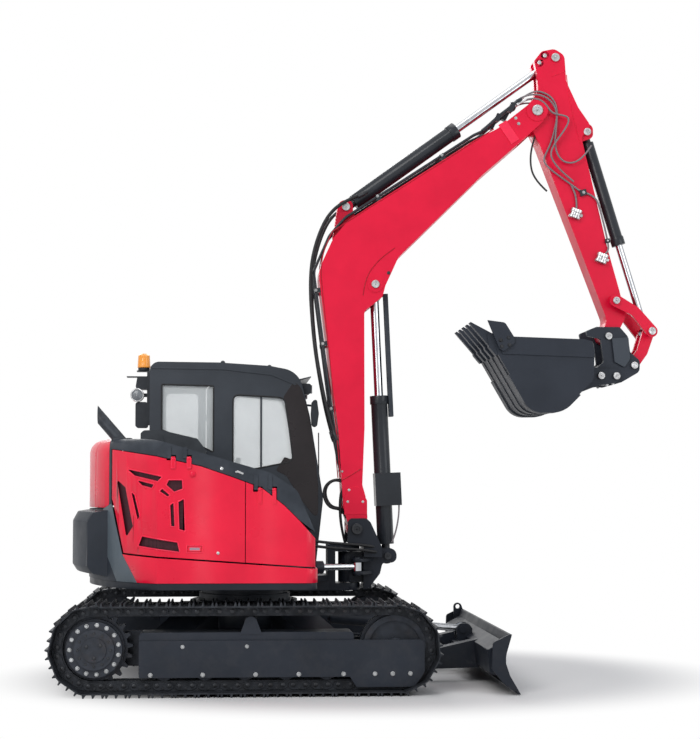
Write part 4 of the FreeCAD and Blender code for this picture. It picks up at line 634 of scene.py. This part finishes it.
# ---------------------------------------------------------------- pins of the working linkage
PINS = {
    "boom": ((2485, 4793, 46), (1094, 3289, 34), (852, 3956, 34)),
    "arm": ((2655, 5266, 36), (2928, 4627, 32), (3140, 3161, 30)),
    "guide_link": ((3444, 2903, 32),),
    "quick_coupler": ((3300, 2614, 30), (3081, 2862, 30)),
    "bucket": ((3004, 2522, 30), (3135, 2520, 30)),
}
BODY_OF = {"quick_coupler": "bucket"}
for node, pins in PINS.items():
    shape = Shape()
    for x, z, radius in pins:
        low, high = corners_near(node, x, z, radius * 1.1)
        shape.cap((x, low + 0.5, z), (0, -1, 0), radius)
        shape.cap((x, high - 0.5, z), (0, 1, 0), radius)
    shape.make(node + "_pin_ends", PIN, BODY_OF.get(node, node))
shape = Shape()
for x, z, radius in ((929, 1235, 46), (1194, 1006, 30)):
    low, high = corners_near("swing_bracket", x, z, radius * 1.1)
    shape.cap((x, low + 0.5, z), (0, -1, 0), radius)
    shape.cap((x, high - 0.5, z), (0, 1, 0), radius)
shape.make("bracket_pin_ends", BOLT, "swing_bracket")

# ---------------------------------------------------------------- tracks and running gear
TRACK_Y = 935
for side in (-1, 1):
    word = "right" if side < 0 else "left"
    shape = Shape()
    out = (0, side, 0)
    for i in range(15):
        a = 2 * math.pi * (i + 0.5) / 15
        shape.bolt((-1145 + 186 * math.cos(a), side * (TRACK_Y + 140), 353.8 + 186 * math.sin(a)), out, 13)
    shape.make("rim_bolts_" + word, ZINC, "undercarriage")
    shape = Shape()
    for i in range(12):
        a = 2 * math.pi * i / 12
        shape.bolt((-1145 + 124 * math.cos(a), side * (TRACK_Y + 160), 353.8 + 124 * math.sin(a)), out, 9)
    for a in (0.6, 2.7, 4.8):
        shape.disc((-1145 + 60 * math.cos(a), side * (TRACK_Y + 172), 353.8 + 60 * math.sin(a)), out, 13, 5)
    shape.make("drive_bolts_" + word, BOLT, "undercarriage")
    shape = Shape()
    for x in (-721, -326, 75, 404, 745, 986, 1122, 1257):
        shape.bolt((x, side * 1075, 160), out, 14)
    for x in (-479, 9):
        shape.bolt((x, side * 1075, 372), out, 12)
    shape.make("guard_bolts_" + word, ZINC, "undercarriage")

SHOES, TEETH, RUN, WHEEL_Z = 37, 21, 2290.0, 353.8
PITCH = 2 * RUN / (SHOES - TEETH / 2)
CHAIN_RADIUS = PITCH * TEETH / (4 * math.pi)


def shoe_places():
    """Middle, outward and forward directions of every shoe on the line of the chain's pins."""
    for i in range(SHOES):
        lap, along = divmod(i * PITCH, RUN + math.pi * CHAIN_RADIUS)
        straight = min(along, RUN)
        angle = math.pi * lap - math.pi / 2 + (along - straight) / CHAIN_RADIUS
        out = Vector((math.cos(angle), math.sin(angle)))
        ahead = Vector((-out.y, out.x))
        wheel = Vector((RUN / 2 if lap == 0 else -RUN / 2, WHEEL_Z))
        yield wheel + out * CHAIN_RADIUS - ahead * (RUN - straight), out, ahead


LINK = ((-80, -22), (-52, -36), (44, -36), (80, -14), (80, 8), (44, 27), (-58, 27), (-80, 10))
for side in (-1, 1):
    word = "right" if side < 0 else "left"
    links, pins, bolts = Shape(), Shape(), Shape()
    for place, out, ahead in shoe_places():
        for face in (1, -1):
            y = side * TRACK_Y + face * 78
            links.plate([tuple(place + ahead * t + out * n) for t, n in LINK], y - face, y + face * 9)
            for t in (-48, 48):
                x, z = place + ahead * t - out * 8
                pins.disc((x, y + face * 8, z), (0, face, 0), 17, 6, 2, 16)
            x, z = place + out * 12
            pins.bolt((x, y + face * 9, z), (0, face, 0), 8)
            for t in (-40, 40):
                x, z = place + ahead * t + out * 40
                bolts.bolt((x, side * TRACK_Y + face * 56, z), (out.x, 0, out.y), 12)
    links.make("links_" + word, TRACK, "undercarriage", 3)
    pins.make("link_pins_" + word, BOLT, "undercarriage")
    bolts.make("shoe_bolts_" + word, BOLT, "undercarriage")

# ---------------------------------------------------------------- boom
foot_plate = [(828, 1352), (1020, 1352), (1020, 1470, 20), (966, 1572, 60), (908, 1592, 60), (850, 1558, 50), (828, 1498, 30)]
tip_band = [(2149, 4662), (2218, 4705), (2330, 4541), (2261, 4498)]
shape = Shape()
for side in (-1, 1):
    shape.plate(rounded(foot_plate), side * 139, side * 144)
shape.make("boom_foot_plates", RED, "boom", 2)
# Bands at the boom's tip in the lighter red: a painted highlight.
shape = Shape()
for side in (-1, 1):
    shape.plate(tip_band, side * 139, side * 147)
shape.make("boom_tip_bands", RED_HIGHLIGHT, "boom", 3)
seams = {
    "rear": [(797, 1660), (760, 2080), (714, 2628), (662, 3085), (640, 3300), (632, 3440), (655, 3580), (733, 3735)],
    "top": [(733, 3735), (930, 3866), (1152, 4008), (1500, 4230), (1800, 4426), (2110, 4628)],
    "pin": [(1262, 3600), (1152, 3523), (1061, 3432), (1006, 3322), (990, 3195)],
    "foot": [(806, 1640), (890, 1680), (970, 1735)],
}
# Beads along the plate edges, in the darker red that paints the shade along those edges.
for name, line in seams.items():
    for side in (-1, 1):
        pipe(f"boom_seam_{name}_{'r' if side < 0 else 'l'}", [(x, side * 140, z) for x, z in line], 4.5, WELD, "boom")
shape = Shape()
for side in (-1, 1):
    shape.disc((1207, side * 139, 3386), (0, side, 0), 15, 4)
shape.make("boom_plugs", BOLT, "boom")
shape = Shape()
for side in (-1, 1):
    for x, z in ((857, 1460), (984, 1460), (868, 1558)):
        shape.disc((x, side * 143.6, z), (0, side, 0), 11, 1.6, 0.8, 20)
shape.make("boom_small_bolts", ZINC, "boom")

ROUTE = [(858, 1500), (750, 2033), (574, 3400), (706, 3702), (842, 3858), (1940, 4578), (2060, 4634)]
shape = Shape()
for run, share in ((0, 0.4), (1, 0.15), (1, 0.55), (1, 0.88), (4, 0.25), (4, 0.75)):
    a, b = Vector(ROUTE[run]), Vector(ROUTE[run + 1])
    middle = a.lerp(b, share)
    along = (b - a).normalized()
    up = Vector((-along.y, along.x))
    for side in (-1, 1):
        p = middle + up * 3
        shape.bolt((p.x, side * 136, p.y), (0, side, 0), 10)
shape.make("pipe_clamp_bolts", ZINC, "boom")

bulge = [(757, 1990), (690, 2180), (625, 2480), (566, 2800), (532, 3177), (537, 3431), (573, 3612), (650, 3818), (748, 3945), (860, 4008), (1010, 4068)]
for index, (y, radius, spread) in enumerate(((-150, 12, 8), (-122, 12, 16), (122, 12, 42), (150, 12, 30))):
    points = [(x + spread * math.sin(math.pi * i / 10), y, z) for i, (x, z) in enumerate(bulge)]
    pipe(f"boom_hose_{index}", points, radius, HOSE, "boom")
shape = Shape()
for y in (-150, -122, 122, 150):
    shape.lathe((757, y, 1990), (-0.33, 0, 0.94), [(0.016, -0.02), (0.017, 0.03), (0.0145, 0.034), (0.0145, 0.07)], 20)
    shape.lathe((1010, y, 4068), (-0.84, 0, -0.5), [(0.016, -0.02), (0.017, 0.03), (0.0145, 0.034), (0.0145, 0.07)], 20)
shape.make("boom_hose_sleeves", BOLT, "boom")

# hoses over the arm's pivot
# their grey covers are slim, and they leave the pipes' ends side by side
top_hoses = {
    "a": (-118, [(2362, 4905), (2447, 4972), (2545, 4968), (2638, 4904), (2668, 4799), (2656, 4700), (2604, 4491), (2530, 4385), (2562, 4310), (2776, 4166), (2846, 4114)]),
    "b": (-132, [(2330, 4895), (2430, 4945), (2560, 4935), (2656, 4829), (2660, 4700), (2628, 4491), (2675, 4378), (2759, 4330), (2868, 4368), (2955, 4500)]),
    "c": (-146, [(2379, 4880), (2464, 4912), (2570, 4862), (2600, 4752), (2790, 4760), (2722, 4620), (2582, 4457), (2592, 4345), (2793, 4182)]),
    "d": (118, [(2362, 4905), (2447, 4972), (2545, 4968), (2638, 4904), (2668, 4799), (2650, 4650), (2640, 4450), (2720, 4300), (2846, 4160)]),
    "e": (134, [(2330, 4895), (2430, 4945), (2560, 4935), (2650, 4829), (2655, 4640), (2700, 4450), (2850, 4420), (2955, 4500)]),
}
for key, (y, line) in top_hoses.items():
    points = [(x, y, z) for x, z in line]
    pipe(f"arm_hose_{key}", points, 7.5, GREY_HOSE, across=("boom", "arm", (2440, 0, 4960), (2640, 0, 4700)))
pipe("arm_hose_near", [(2500, -80, 4640), (2441, -92, 4500), (2418, -104, 4320), (2462, -108, 4205), (2570, -112, 4104)], 8, HOSE, "arm")
shape = Shape()
for y, x, z in ((-118, 2362, 4905), (-132, 2330, 4895), (-146, 2379, 4880), (118, 2362, 4905), (134, 2330, 4895)):
    sleeve = [(0.0105, -0.01), (0.0115, 0.004), (0.0115, 0.045), (0.0095, 0.05), (0.0095, 0.06), (0.013, 0.061), (0.013, 0.083), (0.009, 0.085)]
    shape.lathe((x, y, z), (-0.84, 0, -0.5), sleeve, 18)
shape.make("tip_hose_fittings", PIN, "boom")
shape = Shape()
for side in (-1, 1):
    for y in (118, 146):
        shape.lathe((2340, side * y, 4884), (-0.84, 0, -0.5), [(0.014, -0.008), (0.019, 0), (0.019, 0.03), (0.014, 0.034)], 6)
    shape.plate(rounded([(2226, 4786, 8), (2262, 4768, 8), (2300, 4838, 8), (2262, 4862, 8)]), side * 108, side * 162)
    shape.plate(rounded([(2112, 4706, 8), (2150, 4688, 8), (2178, 4744, 8), (2140, 4766, 8)]), side * 108, side * 162)
shape.make("tip_pipe_blocks", BARREL, "boom", 3)
for side in (-1, 1):
    for y in (118, 146):
        line = [(2010, 4612), (2080, 4668), (2140, 4735), (2232, 4798), (2300, 4858), (2350, 4892)]
        pipe(f"tip_pipe_{'r' if side < 0 else 'l'}{y}", [(x, side * y, z) for x, z in line], 13, BARREL, "boom")
shape = Shape()
for side in (-1, 1):
    for x, z in ((2300, 4726), (2325, 4678)):
        shape.bolt((x, side * 140, z), (0, side, 0), 11)
shape.make("boom_tip_bolts", PIN, "boom")
bead = [(2620, 5103), (2690, 5128), (2744, 5152)]
edge = [(2752, 5120), (2762, 4990), (2800, 4780), (2836, 4640), (2868, 4520)]
for side in (-1, 1):
    word = "right" if side < 0 else "left"
    pipe("arm_bead_top_" + word, [(x, side * 98, z) for x, z in bead], 4, RED, "arm")
    pipe("arm_bead_side_" + word, [(x, side * 98, z) for x, z in edge], 4, RED, "arm")
shape = Shape()
for side in (-1, 1):
    for x, z in ((2566, 5284), (2518, 5222)):
        shape.lathe((x, side * 66, z), (0, side, 0), [(0.04, 0), (0.04, 0.029), (0.037, 0.032)], 32)
shape.make("arm_head_lugs", RED, "arm", 0)
shape = Shape()
for side in (-1, 1):
    for x, z in ((2566, 5284), (2518, 5222)):
        shape.lathe((x, side * 97, z), (0, side, 0), [(0.017, 0), (0.017, 0.005), (0.014, 0.007)], 24)
shape.make("arm_head_pins", PIN, "arm")

# hard lines and couplers on the arm's side
for side in (-1, 1):
    word = "right" if side < 0 else "left"
    line = [(2840, 4120), (2889, 4100), (2975, 4072), (3014, 4010), (3040, 3900), (3068, 3790), (3096, 3650), (3100, 3600), (3066, 3566)]
    pipe(f"arm_line_{word}", [(x, side * 112, z) for x, z in line], 8, GREY_HOSE, "arm")
    line = [(2776, 4166), (2800, 4120), (2822, 4060), (2826, 3990), (2822, 3940)]
    pipe(f"arm_line_short_{word}", [(x, side * 112, z) for x, z in line], 8, GREY_HOSE, "arm")
    shape = Shape()
    for x, z in ((2828, 3912), (3050, 3532)):
        aim = Vector((-0.35, 0, -0.94))
        body = [(0.02, 0), (0.03, 0.004), (0.03, 0.03), (0.024, 0.034), (0.024, 0.058), (0.032, 0.062), (0.032, 0.08), (0.026, 0.086)]
        for shift in (-19, 19):
            shape.lathe((x + shift, side * 116, z + 40 - shift * 0.35), aim, body, 24)
        shape.plate([(x - 52, z + 6), (x + 44, z - 30), (x + 52, z - 8), (x - 44, z + 28)], side * 97, side * 114)
    shape.make("arm_couplers_" + word, PIN, "arm", 1.5)
    shape = Shape()
    shape.plate([(2862, 4062), (2915, 4078), (2905, 4128), (2850, 4112)], side * 97, side * 124)
    shape.plate([(3072, 3660), (3112, 3668), (3106, 3704), (3066, 3696)], side * 97, side * 122)
    shape.make("arm_clamps_" + word, BARREL, "arm", 2)
    shape = Shape()
    shape.bolt((2884, side * 124, 4095), (0, side, 0), 11)
    shape.disc((3088, side * 122, 3682), (0, side, 0), 9, 5)
    shape.make("arm_clamp_bolts_" + word, ZINC, "arm")

# ---------------------------------------------------------------- hoses round the swing post
loop = [(905, 1160), (850, 1300), (800, 1396), (724, 1392), (674, 1425), (640, 1500), (650, 1580), (706, 1628)]
loop += [(770, 1640), (842, 1600)]
rise = [(840, 1110), (806, 1240), (796, 1380), (800, 1500), (822, 1590), (850, 1660)]
strands = ((-84, 16, loop), (-56, 32, loop), (100, 30, loop), (-122, 0, rise), (122, 12, rise))
for index, (y, out, line) in enumerate(strands):
    points = [(x + out, y * (0.7 + 0.3 * i / len(line)), z + out * 0.4) for i, (x, z) in enumerate(line)]
    pipe(f"foot_hose_{index}", points, 11, HOSE, across=("swing_bracket", "boom", (820, 0, 1200), (790, 0, 1560)))
for index, (y, z) in enumerate(((-206, 1120), (-222, 1080))):
    line = [(548, y * 1.02, z + 20), (640, y * 1.05, z + 6), (800, y * 1.02, z - 8), (930, y, z - 14)]
    line += [(1030, y * 0.93, z - 26), (1085, y * 0.82, z - 36), (1118, y * 0.66, z - 44)]
    pipe(f"swing_hose_{index}", line, 12, HOSE, across=("upper", "swing_bracket", (640, y, z), (960, y, z)))
pipe("box_hose", [(1296, -46, 1490), (1302, -54, 1400), (1288, -60, 1280), (1262, -62, 1180), (1236, -60, 1120)], 7, GREY_HOSE, "boom_cylinder_barrel")

# ---------------------------------------------------------------- cab
CAB_SIDE = 60
rear_window = [(-705, 2065, 12), (-500, 1990, 60), (-266, 1876, 12), (-266, 2440, 12), (-705, 2452, 12)]
front_window = [(-102, 1700, 60), (411, 1799, 60), (345, 2342, 80), (-102, 2368, 60)]
for name, outline in (("rear", rear_window), ("front", front_window)):
    points = [(x, CAB_SIDE + 3, z) for x, z in rounded(outline)]
    pipe("gasket_side_" + name, points, 7, RUBBER, "upper", cyclic=True, straight=True)
pillar = [(329, 2352, 10), (418, 2483, 60), (478, 2426, 90), (538, 2233, 200), (590, 1905, 300), (622, 1606, 200), (622, 1293, 60)]
pillar += [(478, 1472, 100), (351, 1680, 100), (262, 1722, 20), (336, 1837, 10), (408, 1812, 30)]
shape = Shape()
shape.plate(rounded(pillar), CAB_SIDE - 2.2, CAB_SIDE + 6)
shape.make("front_pillar_cover", TINT, "upper", 1.2)
shape = Shape()
for x, z in ((-189, 2640), (209, 2606)):
    shape.lathe((x, 120, z - 6), (0, 0, 1), [(0.02, 0), (0.02, 0.014), (0.012, 0.024), (0.004, 0.027)], 20)
    shape.lathe((x, 1020, z - 6), (0, 0, 1), [(0.02, 0), (0.02, 0.014), (0.012, 0.024), (0.004, 0.027)], 20)
shape.make("roof_bosses", BLACK, "upper")
shape = Shape()
shape.lathe((-914, 107, 2362), (0, -1, 0), [(0.046, -0.004), (0.046, 0.004), (0.036, 0.01), (0.0, 0.014)], 32)
shape.make("rear_lamp_lens", WHITE_LENS, "upper")
shape = Shape()
shape.lathe((-914, 106, 2362), (0, -1, 0), [(0.058, -0.006), (0.058, 0.007), (0.054, 0.01), (0.048, 0.01), (0.047, 0.0)], 36)
shape.make("rear_lamp_rim", PIN, "upper")
shape = Shape()
for y in (190, 950):
    frame_line = rounded([(y - 42, 2385, 10), (y + 42, 2385, 10), (y + 42, 2458, 10), (y - 42, 2458, 10)])
    shape.slab_x(frame_line, 560, 577)
shape.make("front_lamp_lenses", WHITE_LENS, "upper", 2)

# wiper on the windscreen
shape = Shape()
shape.slab_x([(520, 1500), (540, 1500), (560, 2060), (548, 2064)], 652, 662)
shape.make("wiper_arm", BLACK, "upper", 2)

# latches and locks on the house
shape = Shape()
shape.disc((-186, -1100, 1723), (0, -1, 0), 13, 6, 2)
shape.disc((-212, -1100, 1081), (0, -1, 0), 12, 6, 2)
shape.plate(rounded([(-84, 1704, 8), (-60, 1708, 10), (-18, 1688, 8), (-24, 1676, 6), (-62, 1692, 8), (-82, 1690, 6)]), -1105, -1099)
shape.make("latch_buttons", PIN, "upper", 1.5)
shape = Shape()
shape.plate(rounded([(-431, 1099, 8), (-348, 1099, 8), (-348, 1126, 8), (-431, 1126, 8)]), -1099.5, -1096.5)
shape.make("cover_paddle", PADDLE, "side_cover_rear", 1)
shape = Shape()
shape.lathe((-408, -1100, 1681), (0, -1, 0), [(0.026, -0.004), (0.026, 0.006), (0.018, 0.013), (0.006, 0.016)], 28)
shape.make("cover_button", RED, "side_cover_rear")

def outer_loops(node, side, longest):
    """Closed edge lines round the openings in a sheet's outer face, as points in metres."""
    bm = bmesh.new()
    bm.from_mesh(nodes[node].data)
    bmesh.ops.remove_doubles(bm, verts=bm.verts, dist=0.00005)
    rim = []
    for edge in bm.edges:
        if len(edge.link_faces) == 2 and edge.calc_face_angle(0) > math.radians(50):
            if max(face.normal.y * side for face in edge.link_faces) > 0.6:
                rim.append(edge)
    loops = []
    while rim:
        edge = rim.pop()
        chain = [edge.verts[0], edge.verts[1]]
        while chain[0] != chain[-1]:
            onward = next((e for e in rim if chain[-1] in e.verts), None)
            if onward is None:
                break
            rim.remove(onward)
            chain.append(onward.other_vert(chain[-1]))
        points = [v.co.copy() for v in chain[:-1]]
        spread = max((a - b).length for a in points for b in points)
        if chain[0] == chain[-1] and spread < longest:
            loops.append(points)
    bm.free()
    return loops


# Raised rims round the grille openings, in the lighter red: a painted highlight on their bevels.
for index, loop in enumerate(outer_loops("side_cover_rear", -1, 0.6)):
    points = [((p.x - SLEW_X) * 1000, p.y * 1000 - 0.5, p.z * 1000) for p in loop]
    pipe(f"grille_rim_{index}", points, 5, RED_HIGHLIGHT, "side_cover_rear", cyclic=True, straight=True)

# ---------------------------------------------------------------- bucket and coupler
low, high = corners_near("quick_coupler", 3180, 2720, 160)
housing = [(3106, 2842, 10), (3250, 2852, 14), (3262, 2668, 30), (3213, 2594, 20), (3126, 2641, 14)]
shape = Shape()
for side, face in ((-1, low), (1, high)):
    shape.plate(rounded(housing), face - side * 2, face + side * 7)
shape.make("coupler_covers", PANEL_DARK, "bucket", 4)
shape = Shape()
for side, face in ((-1, low), (1, high)):
    for x, z in ((3014, 2462), (3060, 2450), (3110, 2462)):
        shape.bolt((x, face, z), (0, side, 0), 12)
shape.make("coupler_pins", PIN, "bucket")
heel = rounded([(2084, 2677), (2356, 2205, 170), (2620, 2208, 220), (2880, 2470)], 10)
shape = Shape()
for y in (-306, -102, 102, 306):
    rows = []
    for i, (x, z) in enumerate(heel):
        before, after = Vector(heel[max(i - 1, 0)]), Vector(heel[min(i + 1, len(heel) - 1)])
        along = (after - before).normalized()
        out = Vector((along.y, -along.x))
        ring = []
        for dy, rise in ((-28, -1), (-28, 7), (28, 7), (28, -1)):
            ring.append(P(x + out.x * rise, y + dy, z + out.y * rise))
        rows.append(ring)
    shape.rings(rows[:-2])
shape.make("heel_strips", BUCKET, "bucket")
shape = Shape()
for side in (-1, 1):
    for x, z in ((2100, 2790), (2165, 2812), (2108, 2738), (2172, 2752)):
        shape.bolt((x, side * 432, z), (0, side, 0), 13)
shape.make("cutter_bolts", BOLT, "bucket")


# ---------------------------------------------------------------- operator's seat
def cushion(name, centre, size, tilt, crown, cap):
    """Foam pad: a rounded block, blown up by cloth pressure, with its seams pressed in after."""
    bm = bmesh.new()
    bmesh.ops.create_cube(bm, size=1.0)
    bmesh.ops.scale(bm, vec=[s / 1000 for s in size], verts=bm.verts)
    mesh = bpy.data.meshes.new(name)
    bm.to_mesh(mesh)
    bm.free()
    obj = bpy.data.objects.new(name, mesh)
    bpy.context.scene.collection.objects.link(obj)
    bpy.context.view_layer.objects.active = obj
    bevel = obj.modifiers.new("bevel", "BEVEL")
    bevel.width, bevel.segments = crown / 1000, 5
    remesh = obj.modifiers.new("remesh", "REMESH")
    remesh.mode, remesh.voxel_size = "VOXEL", 0.009
    for modifier in ("bevel", "remesh"):
        bpy.ops.object.modifier_apply(modifier=modifier)
    rest = [v.co.copy() for v in obj.data.vertices]
    cloth = obj.modifiers.new("cloth", "CLOTH")
    cloth.settings.use_pressure = True
    cloth.settings.uniform_pressure_force = 4.0
    cloth.settings.effector_weights.gravity = 0.0
    for step in range(1, 16):
        bpy.context.scene.frame_set(step)
    bpy.ops.object.modifier_apply(modifier="cloth")
    bpy.context.scene.frame_set(1)
    for v, start in zip(obj.data.vertices, rest):
        move = v.co - start
        if move.length > cap / 1000:
            v.co = start + move.normalized() * cap / 1000
    half = Vector(size) / 2000
    for v in obj.data.vertices:
        if v.co.z > 0:
            for line in (-0.52, 0.52):
                gap = abs(v.co.y - line * half.y)
                v.co.z -= 0.009 * math.exp(-((gap / 0.012) ** 2))
            for line in (-0.35, 0.1, 0.55):
                inside = abs(v.co.y) < 0.52 * half.y
                gap = abs(v.co.x - line * half.x)
                v.co.z -= 0.007 * math.exp(-((gap / 0.012) ** 2)) if inside else 0.0
    subdivision = obj.modifiers.new("subdivision", "SUBSURF")
    subdivision.levels = subdivision.render_levels = 1
    mesh = obj.data
    mesh.transform(Matrix.Translation(P(*centre)) @ Matrix.Rotation(math.radians(tilt), 4, "Y"))
    mesh.shade_smooth()
    mesh.materials.append(FABRIC)
    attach(obj, "upper")
    return obj


pads = [
    cushion("seat_cushion", (-205, 570, 1308), (500, 480, 84), 2.5, 34, 8),
    cushion("seat_back", (-480, 570, 1690), (640, 460, 84), -81, 36, 8),
]
shape = Shape()
shape.plate(rounded([(-470, 956), (-70, 956), (-70, 1180, 30), (-100, 1245, 20), (-450, 1245, 20), (-470, 1180, 30)]), 350, 790)
shape.plate(rounded([(-470, 1245), (40, 1245, 15), (40, 1268, 15), (-470, 1268)]), 330, 810)
shape.plate(rounded([(-520, 1245, 20), (-470, 1245, 10), (-600, 2010, 30), (-640, 1990, 20)]), 380, 760)
stand = shape.make("seat_stand", BLACK, "upper", 5)
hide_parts("seat")


# ---------------------------------------------------------------- floor, light
def flat_floor():
    """Pale floor that fades to plain white away from the machine and keeps its shadow."""
    bm = bmesh.new()
    bmesh.ops.create_grid(bm, x_segments=2, y_segments=2, size=60)
    mesh = bpy.data.meshes.new("floor")
    bm.to_mesh(mesh)
    bm.free()
    floor = bpy.data.objects.new("floor", mesh)
    bpy.context.scene.collection.objects.link(floor)
    floor.location = (0, 0, -0.0005)
    m = Mat("floor", (0.62, 0.62, 0.625, 1), 0.85, spec=0.1)
    split = m.tree.nodes.new("ShaderNodeSeparateXYZ")
    m.link(m.coords, split.inputs[0])
    x = m.math("MULTIPLY", split.outputs["X"], 1 / 3.3)
    y = m.math("MULTIPLY", split.outputs["Y"], 1 / 2.3)
    away = m.math("SQRT", m.math("ADD", m.math("MULTIPLY", x, x), m.math("MULTIPLY", y, y)), 0.0)
    fade = m.span(away, 0.62, 1.0, smooth=True)
    seen = m.math("MULTIPLY", fade, seen_ray(m.tree))
    plain = m.tree.nodes.new("ShaderNodeEmission")
    lift = m.tree.nodes.new("ShaderNodeMixShader")
    m.link(seen, lift.inputs[0])
    m.link(m.shader.outputs[0], lift.inputs[1])
    m.link(plain.outputs[0], lift.inputs[2])
    m.link(lift.outputs[0], m.tree.nodes["Material Output"].inputs["Surface"])
    mesh.materials.append(m.material)


def seen_ray(tree):
    """1 for what the camera sees directly, in metal or through glass."""
    path = tree.nodes.new("ShaderNodeLightPath")
    value = path.outputs["Is Camera Ray"]
    for name in ("Is Glossy Ray", "Is Transmission Ray"):
        either = tree.nodes.new("ShaderNodeMath")
        either.operation = "MAXIMUM"
        tree.links.new(value, either.inputs[0])
        tree.links.new(path.outputs[name], either.inputs[1])
        value = either.outputs[0]
    return value


flat_floor()
world = bpy.data.worlds.new("studio")
bpy.context.scene.world = world
world.use_nodes = True
tree = world.node_tree
soft = tree.nodes["Background"]
soft.inputs["Color"].default_value = (0.93, 0.95, 1.0, 1)
soft.inputs["Strength"].default_value = 0.5
white = tree.nodes.new("ShaderNodeBackground")
white.inputs["Color"].default_value = (1, 1, 1, 1)
white.inputs["Strength"].default_value = 1.0
mixer = tree.nodes.new("ShaderNodeMixShader")
tree.links.new(seen_ray(tree), mixer.inputs[0])
tree.links.new(soft.outputs[0], mixer.inputs[1])
tree.links.new(white.outputs[0], mixer.inputs[2])
tree.links.new(mixer.outputs[0], tree.nodes["World Output"].inputs["Surface"])


def lamp(name, place, aim, size, power, colour=(1, 1, 1)):
    light = bpy.data.lights.new(name, "AREA")
    light.shape = "RECTANGLE"
    light.size, light.size_y = size
    light.energy = power
    light.color = colour
    obj = bpy.data.objects.new(name, light)
    bpy.context.scene.collection.objects.link(obj)
    obj.location = place
    obj.rotation_euler = (Vector(aim) - Vector(place)).to_track_quat("-Z", "Y").to_euler()


lamp("key", (-4.5, -7.5, 8.0), (-0.3, 0, 1.8), (5, 4), 430, (1.0, 0.985, 0.96))
lamp("fill", (7.5, -6.5, 4.5), (0.3, 0, 2.2), (5, 5), 210, (0.95, 0.98, 1.0))
lamp("back", (-2.0, 8.0, 7.0), (0, 0, 2.0), (6, 4), 320)
lamp("strip", (SLEW_X - 2.75, -6.6, 2.2), (SLEW_X - 0.3, -1.1, 1.3), (0.9, 4.0), 70)
lamp("top", (0.5, 0.0, 10.5), (0, 0, 0), (6, 5), 210)
